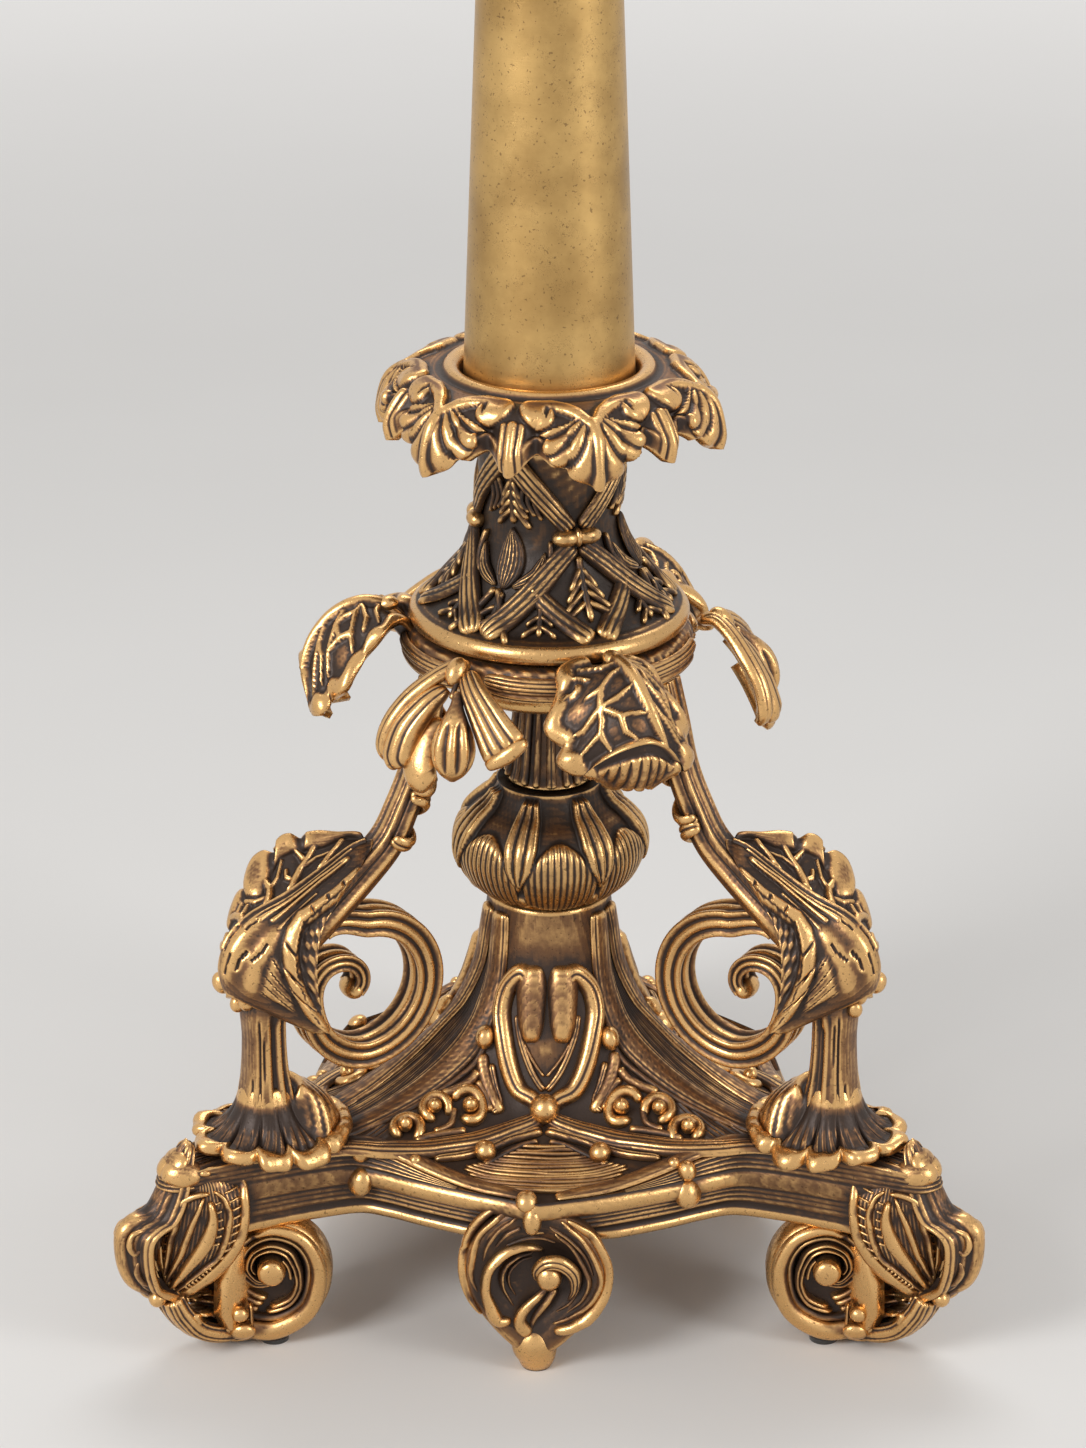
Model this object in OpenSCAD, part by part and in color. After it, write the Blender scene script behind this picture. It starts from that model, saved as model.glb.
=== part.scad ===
// Torchere candle stand: a cast and chased brass stand on a three-armed
// scrolled base. Every casting is threaded on one long tie rod, which is
// drawn tight between a nut under the base and the candle cup on top.
// Millimetres, +Z up, origin on the floor under the column's axis.
// One side of the base faces -Y; the corners point to 210, 330 and 90 degrees.

/* [Base] */
// Reach of each corner from the axis
corner_reach = 213; // [205:1:220]
// Reach of the point at the middle of each side
side_reach = 121; // [118:1:125]
// Height of the rim at the middle of each side
rim_h = 92; // [90:1:94]
// Height of the flat seat on each arm
arm_h = 104; // [102:1:106]
// Height of the lower edge of the base casting
skirt_h = 66; // [64:1:68]
// Wall of the hollow base casting
base_wall = 6; // [5:0.5:7]

/* [Stem] */
// Top of the base casting's neck
neck_base_h = 203; // [202:1:204]
// Top of the bulb
bulb_h = 262; // [261:1:263]
// Top of the fluted stem
stem_h = 312; // [311:1:313]
// Underside of the ribbon ring
ring_h = 325; // [324:1:326]
// Seat of the collar
collar_h = 438; // [437:1:439]

/* [Column] */
// Radius of the column at the collar's lip
column_r = 40; // [38:0.5:41]
// Height at which the column ends
column_top = 1000; // [850:10:1100]
// Radius lost for each millimetre of height
column_taper = 0.0376; // [0.030:0.0002:0.040]
// Wall of the column tube
column_wall = 2.5; // [2:0.5:4]

/* [Candle] */
// Radius of the candle socket
candle_r = 19.5; // [18:0.5:21]
// Depth of the candle socket
candle_depth = 35; // [30:1:40]
// Radius of the drip pan
pan_r = 75; // [70:1:85]

/* [Tie rod] */
// Radius of the tie rod
rod_r = 5; // [5:0.5:6]
// Clearance round the rod
rod_gap = 0.6; // [0.4:0.1:1]

/* [Hidden] */
$fn = 96;

CORNERS = [210, 330, 90];   // directions of the arms, legs and corner feet
SIDES = [270, 30, 150];     // middles of the sides
swing = -3.2;               // turn of each side's point and its cartouche foot
LEAVES = [180, 292, 60];    // directions of the leaves on the ribbon ring
BOWS = [240, 0, 120];       // directions of the bows on the ribbon ring
bore_r = rod_r + rod_gap;
cap_h = column_top + 12;    // the pan sits on the column's cap
cup_h = cap_h + 12;         // the cup sits on the pan

BRASS = "#b58a45";
DARK = "#6d5434";
STEEL = "#9a9a98";
FELT = "#2c2a28";

// ---------- curves and skins ----------

function unit(v) = v / norm(v);
function mix(a, b, t) = a + (b - a) * t;
function ramp(a, b, x) = let (u = min(1, max(0, (x - a) / (b - a)))) u * u * (3 - 2 * u);
function bump(centre, width, x) = exp(-pow((x - centre) / width, 2));

// A smooth curve through the rows of a table: c holds the rows, t runs from
// 0 to the last row's number, and every column is interpolated alike.
function row_at(c, t) =
    let (n = len(c) - 1, i = min(n - 1, max(0, floor(t))), u = t - i,
         p0 = c[max(0, i - 1)], p1 = c[i], p2 = c[i + 1], p3 = c[min(n, i + 2)])
    0.5 * (2 * p1 + (p2 - p0) * u + (2 * p0 - 5 * p1 + 4 * p2 - p3) * u * u
           + (3 * p1 - p0 - 3 * p2 + p3) * u * u * u);
function curve(c, steps) = [for (i = [0:steps]) row_at(c, i / steps * (len(c) - 1))];

// Six times the volume inside a triangle list, which tells its turning sense.
function signed_volume(p, f, i = 0, s = 0) =
    i == len(f) ? s : signed_volume(p, f, i + 1, s + p[f[i][0]] * cross(p[f[i][1]], p[f[i][2]]));

// Closed rings of equal length joined into one solid. The ends are closed by
// pairing each ring point with its opposite number, or the last ring meets
// the first when the skin is a loop.
module skin(rings, loop = false) {
    n = len(rings);
    m = len(rings[0]);
    p = [for (r = rings) each r];
    sides = [for (i = [0:(loop ? n - 1 : n - 2)], j = [0:m - 1])
        let (a = i * m + j, b = i * m + (j + 1) % m,
             c = ((i + 1) % n) * m + (j + 1) % m, d = ((i + 1) % n) * m + j)
        each [[a, b, c], [a, c, d]]];
    ends = loop ? [] : [for (e = [0, (n - 1) * m], j = [0:m / 2 - 2])
        let (a = e + j, b = e + j + 1, c = e + m - 2 - j, d = e + m - 1 - j)
        each (e == 0 ? [[a, c, b], [a, d, c]] : [[a, b, c], [a, c, d]])];
    f = concat(sides, ends);
    polyhedron(p, signed_volume(p, f) > 0 ? [for (t = f) [t[2], t[1], t[0]]] : f);
}

// Bar with elliptical sections: each row is [x, y, z, half thickness, half width].
// The width lies along the across direction. Square above 0 flattens the sides.
module bar(rows, sides = 10, across = [0, 1, 0], square = 0) {
    n = len(rows) - 1;
    c = [for (r = rows) [r[0], r[1], r[2]]];
    skin([for (i = [0:n])
        let (t = unit(c[min(n, i + 1)] - c[max(0, i - 1)]),
             b = unit(across - (across * t) * t), u = cross(b, t))
        [for (j = [0:sides - 1])
            let (f = (j + 0.5) * 360 / sides, k = pow(max(abs(cos(f)), abs(sin(f))), -square))
            c[i] + u * rows[i][3] * cos(f) * k + b * rows[i][4] * sin(f) * k]]);
}

// Sheet of even thickness under a grid of points.
module sheet(g, thick) {
    n = len(g) - 1;
    m = len(g[0]) - 1;
    skin([for (i = [0:n]) concat(
        [for (j = [0:m]) g[i][j]],
        [for (k = [0:m]) let (j = m - k,
            du = g[min(n, i + 1)][j] - g[max(0, i - 1)][j],
            dv = g[i][min(m, j + 1)] - g[i][max(0, j - 1)])
            g[i][j] - thick * unit(cross(du, dv))])]);
}

// Several sweeps cast as one piece.
module one_casting() { resize([0, 0, 0]) union() children(); }

// Ring turned round the axis with its bore: profile points are [radius, height].
module turned(profile) { rotate_extrude() polygon(profile); }

// ---------- base ----------

// Rim of one twelfth of the base: angle from the side's middle, reach.
RIM = [[0, side_reach], [10, 116.5], [22, 114.5], [33, 116], [41, 119],
       [47.5, 126], [51.5, 145], [54, 168], [55.6, 190], [57, corner_reach - 8],
       [60, corner_reach]];
// Height of the top surface on the line to a side's middle and on an arm: reach, height.
SIDE_TOP = [[30, neck_base_h - 2], [33, 176], [45, 139], [58, 112], [80, 99], [121, rim_h]];
ARM_TOP = [[30, neck_base_h - 2], [35, 168], [50, 142], [70, 126], [95, 113], [122, arm_h + 1],
           [150, arm_h], [192, arm_h], [213, arm_h - 2]];
function height_at(c, r, i = 0) =
    i >= len(c) - 2 || r < c[i + 1][0]
    ? mix(c[i][1], c[i + 1][1], min(1, max(0, (r - c[i][0]) / (c[i + 1][0] - c[i][0]))))
    : height_at(c, r, i + 1);
function top_h(r, a) = let (w = ramp(12, 56, a)) mix(height_at(SIDE_TOP, r), height_at(ARM_TOP, r), w);

// Reach of the folded loop and of the ridge that leave the bead, by angle, and
// the angle of the pillar's middle by reach.
LOOP = [[0, 59], [10, 54], [25, 44.4], [33.5, 38], [60, 36]];
RIDGE = [[0, 63], [17, 73.5], [27, 89.3], [34.8, 105], [42.4, 116], [60, 170]];
PILLAR = [[31, 50], [41, 45], [52, 45.8], [88, 50.4], [122, 55], [140, 60]];
// The closed section of the casting on the line at angle a to a reach of r:
// over the top with its raised bands, round the rim's rail, down the rim,
// along the foot, up the hollow and out of the bore.
function base_section(a, r) =
    let (set = mix(11, 4, ramp(6, 20, a)), in = min(r - set - 7, 128),
         deck = function (x) top_h(x, a) + 2 * bump(height_at(PILLAR, x), 3.5, a),
         loop_r = height_at(LOOP, a), ridge_r = min(r - 16, height_at(RIDGE, a)), rail = a < 56.5 ? 1 : 0,
         tongue_h = 3.4 * bump(10, 7, a), loop_h = 2.6 * ramp(38, 32, a), ridge_h = 2.8 * ramp(47, 42, a), rim_z = top_h(r, a))
    concat([[30, deck(30)], [38, deck(38) + tongue_h], [loop_r - 4.5, deck(loop_r - 4.5) + tongue_h * 0.4], [loop_r, deck(loop_r) + loop_h],
            [(loop_r + ridge_r) / 2, deck((loop_r + ridge_r) / 2)], [ridge_r, deck(ridge_r) + ridge_h], [ridge_r + 7, deck(ridge_r + 7)],
            [(ridge_r + r) / 2, deck((ridge_r + r) / 2)], [r - 7, deck(r - 7)], [r - 5, rim_z + 1.2 * rail], [r, rim_z + 0.8 * rail],
            [r + 4 * rail, rim_z - 3.4], [r + rail, rim_z - 7.5],
            [r - 2.5, rim_z - 10], [r - 2.5, rim_z - 18], [r - set, rim_z - 19],
            [r - set, skirt_h], [in, skirt_h],
            [in - 6, top_h(in - 6, a) - base_wall - 2], [60, top_h(60, a) - base_wall - 3],
            [27, top_h(30 + base_wall, a) - 14], [22, neck_base_h - 22], [bore_r, neck_base_h - 22],
            [bore_r, neck_base_h], [27, neck_base_h]]);

// The rim all round one side, and the direction of its angle a seen from above.
RIM_SIDE = concat([for (i = [len(RIM) - 1:-1:1]) [-RIM[i][0], RIM[i][1]]], [for (i = [0:len(RIM) - 2]) RIM[i]]);
function side_az(side, a) = side + a + swing * (1 - abs(a) / 60);
module base_body() skin([for (side = SIDES, q = RIM_SIDE)
    [for (p = base_section(abs(q[0]), q[1])) let (az = side_az(side, q[0])) [p[0] * cos(az), p[0] * sin(az), p[1]]]], loop = true);
module base_plate() color(BRASS) one_casting() difference() {
    union() {
        base_body();
        for (side = SIDES) rotate(side + swing) translate([60, 0, top_h(60, 0)]) sphere(r = 6.6, $fn = 10);
    }
    screw_holes();
}

pad_h = 2;              // felt under each foot
// Trims a foot to the felt below it, to the casting above it and round its
// screws, and clears the casting's deck.
module trimmed(az) difference() {
    union() children();
    translate([-300, -300, -50]) cube([600, 600, 50 + pad_h]);
    rotate(-az) {
        base_body();
        screw_holes();
        translate([0, 0, arm_h - 6]) linear_extrude(30) intersection() {
            circle(r = corner_reach - 15);
            polygon([for (side = SIDES, q = RIM_SIDE) q[1] * [cos(side_az(side, q[0])), sin(side_az(side, q[0]))]]);
        }
    }
}

// Scroll foot under one arm, in the arm's own frame: x points outward. Two
// flanks meet at the corner. Each looks the way of the side next to it, with
// a volute at its inner end and a ribbed leaf beside the corner.
flank = 98;             // distance of the volutes' faces from the axis
volute_c = [-134, 43];  // centre of a volute on its flank
// Reach of the spiral round its centre: down, inwards, up, outwards and down again.
VOLUTE = [[-50, 44], [-25, 42.5], [0, 41], [45, 33.5], [90, 28.5], [135, 26.4], [180, 25], [225, 22], [270, 19], [315, 15.5],
          [360, 12.6], [405, 10.6], [450, 9.4], [495, 8.6]];
function volute_at(q, inset) = [volute_c[0] + (q[1] - inset) * sin(q[0]), volute_c[1] - (q[1] - inset) * cos(q[0])];
module volute() {
    rotate([90, 0, 90]) {
        linear_extrude(15) polygon(concat([for (q = curve([for (i = [1:8]) VOLUTE[i]], 14)) volute_at(q, 1.5)], [[-165, 60], [-168, 20]]));
        translate([volute_c[0], volute_c[1]]) cylinder(r1 = 12, r2 = 6.8, h = 23, $fn = 8);
    }
    bar([for (i = [0:20]) let (q = row_at(VOLUTE, i / 20 * 13), u = i / 20, p = volute_at(q, mix(4.4, 2.2, u)))
        [16, p[0], p[1], mix(3.8, 3, u), mix(4.4, 2.2, u)]], 6, [0, 1, 0]);
}
module corner_foot(az) color(BRASS) rotate(az) one_casting() trimmed(az) {
    // in a flank's frame x is the way it looks and y runs towards the side's middle
    for (m = [-1, 1]) mirror([0, m < 0 ? 1 : 0, 0]) rotate(60) {
        translate([flank - 18, 0, 0]) volute();
        // wall of the flank behind the volute and the leaf
        translate([80, -171, 16]) cube([13, 44, skirt_h + 22 - 16]);
        // strap under the flank from the volute out to the corner
        bar(curve([[86, -140, 7.2, 4.8, 6], [89, -152, 6.8, 5.2, 8.5], [92, -166, 9.5, 7, 9],
                   [97, -177, 17, 8, 8], [100, -186, 30, 7, 6]], 6), 6, [1, 0, 0]);
        // ribbed leaf beside the corner, its point hanging inwards
        bar(curve([[102, -165, 103, 4, 8], [108, -165, 96, 6, 17], [111, -165, 84, 7, 21], [112, -166.5, 70, 7, 22], [112, -169.5, 58, 7, 20.5],
                   [110, -174, 46, 6, 15], [106, -179, 36, 4, 6]], 8), 6, [0, 1, 0.2]);
        translate([105, -174, 100]) scale([0.9, 1.5, 1]) sphere(r = 7, $fn = 10);
    }
    // core of the foot between the two flanks, up to the casting's lower edge
    hull() {
        translate([143, 0, 34]) cylinder(r = 12, h = skirt_h - 34, $fn = 10);
        translate([188, 0, 38]) cylinder(r = 9, h = skirt_h - 38, $fn = 10);
        translate([166, 0, 18]) cylinder(r = 8, h = 10, $fn = 10);
    }
    // outer leaf of the corner, its tip turned up over the arm's end, and the hook below
    bar(curve([[203, 0, 113, 3, 5], [211, 0, 104, 4, 9], [218, 0, 90, 5, 12], [228, 0, 78, 6, 13], [231, 0, 64, 7, 13],
               [226, 0, 50, 7, 11], [216, 0, 38, 6, 8]], 10), 6);
}

// Foot under the middle of a side: a round cartouche drawn to a point below.
cart_r = 35;            // radius of the cartouche
cart_z = 54;            // height of its centre
function cartouche(r) = [for (i = [0:23])
    let (a = i * 360 / 24, low = pow(max(0, -sin(a)), 3))
    [r * cos(a) * (1 - 0.25 * low), r * sin(a) - 12 * low]];
module side_foot(az) color(BRASS) rotate(az + swing) one_casting() trimmed(az + swing) {
    // plate and its stout back, set under the casting's wall
    translate([109.5, 0, cart_z]) rotate([90, 0, 90]) linear_extrude(11) polygon(cartouche(cart_r));
    translate([94, 0, cart_z]) rotate([90, 0, 90]) linear_extrude(17)
        intersection() { polygon(cartouche(cart_r - 6)); translate([-40, -60]) square([80, skirt_h - cart_z - 0.5 + 60]); }
    // raised scrolling rib round the face, and the curled tail in the middle
    bar([for (i = [0:20]) let (a = 84 + i * 17, low = pow(max(0, -sin(a)), 3))
        [121, (cart_r - 6) * cos(a) * (1 - 0.25 * low), cart_z + (cart_r - 6) * sin(a) - 12 * low, 3.2, 4]], 6, [1, 0, 0]);
    bar(curve([[121, -6, 62, 3, 4], [124, 4, 68, 4, 5], [125, 12, 62, 5, 6], [125, 9, 52, 5, 6],
               [123, -2, 42, 5, 6], [122, -4, 26, 5, 6], [119, -2, 12, 6, 6]], 10), 6, [1, 0, 0]);
    // clasp over the rim and the ball on which the foot stands
    bar([[122, 0, 78, 5, 7], [124, 0, 86, 5, 8], [122, 0, 92, 4, 6]], 8);
    translate([112, 0, 0]) cylinder(r1 = 7, r2 = 10, h = 12, $fn = 12);
}

// ---------- legs ----------

// Centre line of a leg: reach, height, half thickness, half width.
LEG = [[63, 324, 5, 8], [67, 303, 6.5, 8.5], [72, 281, 7, 8.5], [80, 262, 7.5, 8.5], [89, 246, 8, 9],
       [104, 232.5, 9, 10], [122, 220, 9.5, 13], [142, 206, 10, 14], [153, 192, 10.5, 14], [157, 176, 9, 11.5],
       [157, 160, 8.2, 9.5], [157, 140, 8.6, 9.5], [157, 124, 10.5, 10.8], [157, 108.5, 11, 11]];
module leg(az) color(BRASS) rotate(az) one_casting() difference() {
    bar([for (q = curve(LEG, 22)) [q[0], 0, q[1], q[2], q[3]]], 8);
    rotate(-az) screw_holes();
}

// Spiral under the knee: its root is brazed to the underside of the leg, and
// it runs round once and curls back on itself.
module leg_scroll(az) color(BRASS) rotate(az)
    bar([for (i = [0:32])
        let (a = 74 + i * 15, u = ramp(270, 420, a),
             q = a < 270 ? mix(33.5, 35.5, ramp(74, 270, a)) : mix(35.5, 4, pow((a - 270) / 284, 0.62)))
        [mix(105, 115, u) + q * cos(a), 0, mix(175.5, 177, u) + q * sin(a),
         mix(4.9, 7.2, ramp(70, 100, a)) * mix(1, 0.36, ramp(250, 554, a)), mix(9.5, 7, ramp(300, 554, a))]],
        8, square = 0.4);

// Acanthus over the knee, row by row from its root to its hanging end. Each row
// is the midrib's reach and height, then for the near edge and for the far edge
// the half width, the reach gained and the height gained.
KNEE = [[97, 249, 4, 3, -4, 4, 2, -2], [107, 247.5, 11, 3, -7, 10, 0, 2], [121, 240.5, 17, 2, -9, 17, -3, 9],
        [136, 233, 20, -2, -13, 23, -6, 16], [149, 227.5, 23, -10, -22, 25, -8, 14], [162, 222, 25, -22, -32, 25, -10, 5],
        [172, 214, 26, -34, -38, 23, -14, -4], [177, 204, 26, -42, -36, 20, -17, -12], [179, 195, 22, -38, -29, 15, -17, -14],
        [177, 187, 15, -26, -16, 9, -10, -8]];
module knee_leaf(az, hand) color(BRASS) rotate(az) mirror([0, hand < 0 ? 1 : 0, 0]) {
    n = 18;
    rows = curve(KNEE, n);
    sheet([for (i = [0:n]) let (q = rows[i], w = 1 + 0.06 * cos(i * 180))
        [for (j = [-3:3]) let (t = abs(j) / 3, e = pow(t, 1.8), o = j > 0 ? 2 : 5)
            [q[0] + q[o + 1] * e, sign(j) * t * q[o] * w, q[1] + q[o + 2] * e]]], -3.5);
}

// Ribbed leaf round the foot of a leg. It lies on the arm, hangs over the arm's
// edges and stands up as a shell on the inner side.
module foot_leaf(az) color(BRASS) rotate(az) translate([157, 0, 0]) {
    n = 36;
    skin([for (i = [0:n - 1])
        let (a = i * 360 / n, back = pow(max(0, -cos(a)), 3),
             reach = (34 + 2 * cos(2 * a) + 8 * back) * (1 + 0.05 * cos(a * 9)))
        [for (q = [[10, 106], [10, 136], [13, 126], [19, 119.5], [27, 115.5], [reach, 110.5], [reach, 107], [28, 105.2]])
            let (x = q[0] * cos(a), y = q[0] * sin(a), over = max(0, abs(y) - 25),
                 up = back * 19 * ramp(11, 24, q[0]) * (1 - ramp(30, 46, q[0]) * 0.8))
            [x, y, q[1] - over * 0.9 + up]]], loop = true);
}

// ---------- stem ----------

module bulb() color(DARK) turned([[22, neck_base_h], [27, neck_base_h], [34, 208], [41, 215], [45, 224], [45.5, 231],
    [43, 238], [37, 244], [31, 249], [27, 256], [25.5, bulb_h],
    [bore_r, bulb_h], [bore_r, bulb_h - 12], [20, 247], [30, 240], [38, 231], [38, 224], [34, 215], [24, 209]]);

// Fluted stem: eight round reeds round a tapering core.
module fluted_stem() color(DARK) difference() {
    union() {
        turned([[2, bulb_h], [23, bulb_h], [20, 275], [17.5, 292], [16, stem_h], [2, stem_h]]);
        for (k = [0:7]) rotate(k * 45) bar([[20.5, 0, bulb_h + 1.2, 4, 4.5], [18, 0, 275, 3.6, 4],
            [15.5, 0, 292, 3.2, 3.6], [14.2, 0, stem_h - 1, 3, 3.4]], 6);
    }
    translate([0, 0, 250]) cylinder(r = bore_r, h = 80);
}

module stem_disc() color(BRASS) turned([[bore_r, stem_h], [46, stem_h], [49.5, stem_h + 2.5],
    [50, stem_h + 5], [48, stem_h + 9], [bore_r, stem_h + 9]]);

// Hexagonal ring of ribbons round the foot of the neck.
module ribbon_ring() color(BRASS) ring_body();
module ring_body() {
    skin([for (i = [0:53])
        let (a = i * 360 / 54, reach = 67 + 2.5 * cos(a * 6))
        [for (q = [[51, 326], [51, 342.5], [58, 343.2], [reach - 2, 342], [reach, 338], [reach + 0.5, 332], [reach - 2, 326], [58, 325]])
            [q[0] * cos(a), q[0] * sin(a), q[1]]]], loop = true);
}

// Leaf springing from the ring: reach, height, half width, drop of the edges.
// The half towards the bow clockwise of it is the broader one.
RING_LEAF = [[68.5, 337, 7, 0], [76, 347, 10, 2], [84, 351, 17, 9], [93, 350.5, 23, 19], [102, 346, 26, 27],
             [110, 338, 26, 28], [115, 329, 23, 24], [117, 319, 19, 14], [115, 308, 13, 6], [110, 299, 8, 2]];
module ring_leaf(az) color(BRASS) rotate(az) one_casting() difference() {
    leaf_sheet(az == LEAVES[0] ? 1.25 : 1);
    rotate(-az) { ring_body(); neck(); }
}
module leaf_sheet(other) {
    n = 14;
    rows = curve(RING_LEAF, n);
    sheet([for (i = [0:n]) let (q = rows[i], w = 1 + 0.05 * cos(i * 180))
        [for (j = [-3:3]) let (t = j / 3, e = pow(abs(t), 1.8), wide = t < 0 ? 1.3 : other)
            [q[0] - (t < 0 ? 14 : 6) * e, t * q[2] * w * wide, q[1] - q[3] * e * (t < 0 ? 0.85 : 1)]]], -4.5);
}

// Bow with a knot, a folded loop, a bud between and a cut end.
module bow(az) color(BRASS) rotate(az) one_casting() difference() {
    bow_body();
    rotate(-az) { ring_body(); neck(); }
}
module bow_body() {
    bar(curve([[68.5, 0, 336, 5, 7], [75, -1, 342, 7, 7], [82, -2, 341, 8, 7], [88, -1, 335, 5, 5]], 6), 6);
    // folded loop on one hand, its two leaves laid side by side
    bar(curve([[80, -4, 340, 4, 4], [88, -12, 335, 5, 7], [95, -21, 326, 6, 8], [100, -26, 316, 8, 8],
               [102, -24, 307, 8, 8], [103, -16, 301, 7, 8], [101, -7, 299, 5, 7]], 8), 6, [1, 0, 1]);
    bar(curve([[84, -3, 335, 4, 4], [91, -9, 325, 6, 6], [98, -13, 312, 8, 9], [102, -11, 300, 7, 7]], 5), 6, [0, 1, 0]);
    // bud
    bar(curve([[86, 0, 334, 2.5, 2.5], [92, 4, 327, 4, 4], [98, 7, 319, 8.5, 8.5], [102, 8, 310, 10, 10],
               [104, 8, 301, 6.5, 6.5]], 7), 8);
    // cut end on the other hand
    bar(curve([[82, 2, 340, 4, 4], [88, 12, 335, 6, 8], [92, 21, 327, 7, 10], [95, 29, 319, 8, 12],
               [96, 33, 314, 6, 12]], 6), 6, [0, 1, 1]);
}

// ---------- neck, collar and column ----------

NECK = [[65.2, 350], [62, 353.4], [54.2, 359.6], [45.8, 370.4], [39.2, 381.3], [35.6, 390], [34.6, 396], [34.4, 404], [35, 412],
        [35.8, 424], [36.4, collar_h]];
module neck() color(DARK) turned(concat([[44, stem_h + 9], [50, stem_h + 9], [50, 343.6], [58, 343.6], [64.4, 345.5]], NECK,
    [[bore_r, collar_h], [bore_r, collar_h - 12], [28, collar_h - 12], [27, 404], [26.5, 396], [28, 390], [32, 381],
     [38, 370], [46, 360], [52, 353], [52, 349], [44, 343]]));

// Collar: six spread leaves and six small drops hang round the column's foot.
module collar() color(BRASS) {
    n = 72;
    skin([for (i = [0:n - 1])
        let (a = i * 360 / n, k = (a - 288 + 720) % 60,
             leaf = bump(0, 13, k) + bump(60, 13, k), drop = bump(30, 6, k),
             fork = bump(8, 3, k) + bump(52, 3, k), notch = bump(21, 3.5, k) + bump(39, 3.5, k),
             reach = 75.5 + 5 * leaf + 1.5 * drop - 4 * notch - 1.5 * fork,
             tip = 446 - 13 * leaf - 8 * drop + 2 * fork)
        [for (q = [[bore_r, collar_h], [35.5, collar_h], [41, 443], [60, 449], [reach - 9, 447 - 6 * leaf],
                   [reach - 6, tip], [reach - 3, tip - 1], [reach, tip + 10], [reach - 4, 457], [66, 464.5],
                   [54, 468.5], [49, 471], [44, 471], [41.8, 468], [41.8, collar_h + 12], [bore_r, collar_h + 12]])
            [q[0] * cos(a), q[0] * sin(a), q[1]]]], loop = true);
}

function column_at(z) = column_r - column_taper * (z - 470);
module column() color("#c29a4e") difference() {
    z0 = collar_h + 12;
    turned([[1, z0], [column_at(z0), z0], [column_at(column_top), column_top], [1, column_top]]);
    turned([[0, z0 - 1], [column_at(z0) - column_wall, z0 - 1],
            [column_at(column_top) - column_wall, column_top + 1], [0, column_top + 1]]);
}

// Turned cap: a spigot in the tube and a moulded ring over its end.
module column_cap() color(BRASS) turned([[bore_r, column_top - 14],
    [column_at(column_top) - column_wall - 0.3, column_top - 14], [column_at(column_top) - column_wall - 0.3, column_top],
    [column_at(column_top) + 1, column_top], [column_at(column_top) + 5, column_top + 3], [column_at(column_top) + 6, column_top + 6],
    [column_at(column_top) + 4, column_top + 9], [column_at(column_top) - 1, cap_h], [bore_r, cap_h]]);

module drip_pan() color(BRASS) turned([[bore_r, cap_h], [18, cap_h], [30, cap_h + 1.5], [50, cap_h + 4], [66, cap_h + 7],
    [pan_r - 2, cap_h + 9], [pan_r, cap_h + 11], [pan_r - 2, cap_h + 13], [pan_r - 6, cap_h + 12.6], [60, cap_h + 10.4],
    [36, cap_h + 9.9], [27, cup_h], [bore_r, cup_h]]);

// Candle cup: a vase with the socket above and a tapped hole for the rod below.
cup_top = cup_h + 20 + candle_depth;
module candle_cup() color(BRASS) difference() {
    turned([[0, cup_h], [24, cup_h], [25, cup_h + 3], [19, cup_h + 7], [15, cup_h + 11], [17, cup_h + 15], [23, cup_h + 20],
        [26, cup_h + 28], [25.5, cup_h + 38], [24, cup_top - 8], [25, cup_top - 5], [28, cup_top - 3], [28, cup_top - 0.8],
        [27, cup_top], [0, cup_top]]);
    translate([0, 0, cup_h + 20]) cylinder(r = candle_r, h = candle_depth + 1);
    translate([0, 0, cup_h - 1]) cylinder(r = rod_r + 0.1, h = 15);
}

// ---------- inner parts ----------

rod_bottom = neck_base_h - 44;
module tie_rod() color(STEEL) translate([0, 0, rod_bottom]) cylinder(r = rod_r, h = cup_h + 13 - rod_bottom);
web_h = neck_base_h - 22;   // underside of the web that the nut pulls against
module base_washer() color(STEEL) translate([0, 0, web_h - 3]) difference() {
    cylinder(r = 18, h = 3);
    translate([0, 0, -1]) cylinder(r = bore_r, h = 5);
}
module base_nut() color(STEEL) translate([0, 0, web_h - 11]) difference() {
    cylinder(r = 9.8, h = 8, $fn = 6);
    translate([0, 0, -1]) cylinder(r = rod_r + 0.1, h = 10);
}
// Screws: one lifts each corner foot against its arm, one holds each side foot
// to the rim's wall and one pins each leg down to its arm. Grow is the room
// that their holes leave round them.
module screw(length, r, head, grow = 0) {
    cylinder(r = r + grow, h = length + grow, $fn = grow > 0 ? 8 : 32);
    translate([0, 0, grow > 0 ? -30 : -4]) cylinder(r = head + grow, h = grow > 0 ? 30 : 4, $fn = grow > 0 ? 8 : 32);
}
module foot_screw_set(grow = 0) {
    for (az = CORNERS) rotate(az) translate([184, 0, 44]) screw(38, 3, 5, grow);
    for (az = SIDES) rotate(az + swing) translate([102.8, 0, 77]) rotate([0, 90, 0]) screw(13, 2, 3.6, grow);
}
module leg_screw_set(grow = 0)
    for (az = CORNERS) rotate(az) translate([157, 0, 74]) screw(52, 2.5, 4.5, grow);
module screw_holes() { foot_screw_set(0.6); leg_screw_set(0.6); }
module foot_screws() color(STEEL) foot_screw_set();
module leg_screws() color(STEEL) leg_screw_set();
// Felt discs on which the stand rests.
module floor_pads() color(FELT) {
    for (az = CORNERS, m = [-1, 1]) rotate(az) mirror([0, m < 0 ? 1 : 0, 0]) rotate(60)
        translate([flank - 11, -134, 0]) cylinder(r = 7, h = pad_h);
    for (az = SIDES) rotate(az + swing) translate([112, 0, 0]) cylinder(r = 7, h = pad_h);
}

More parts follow.
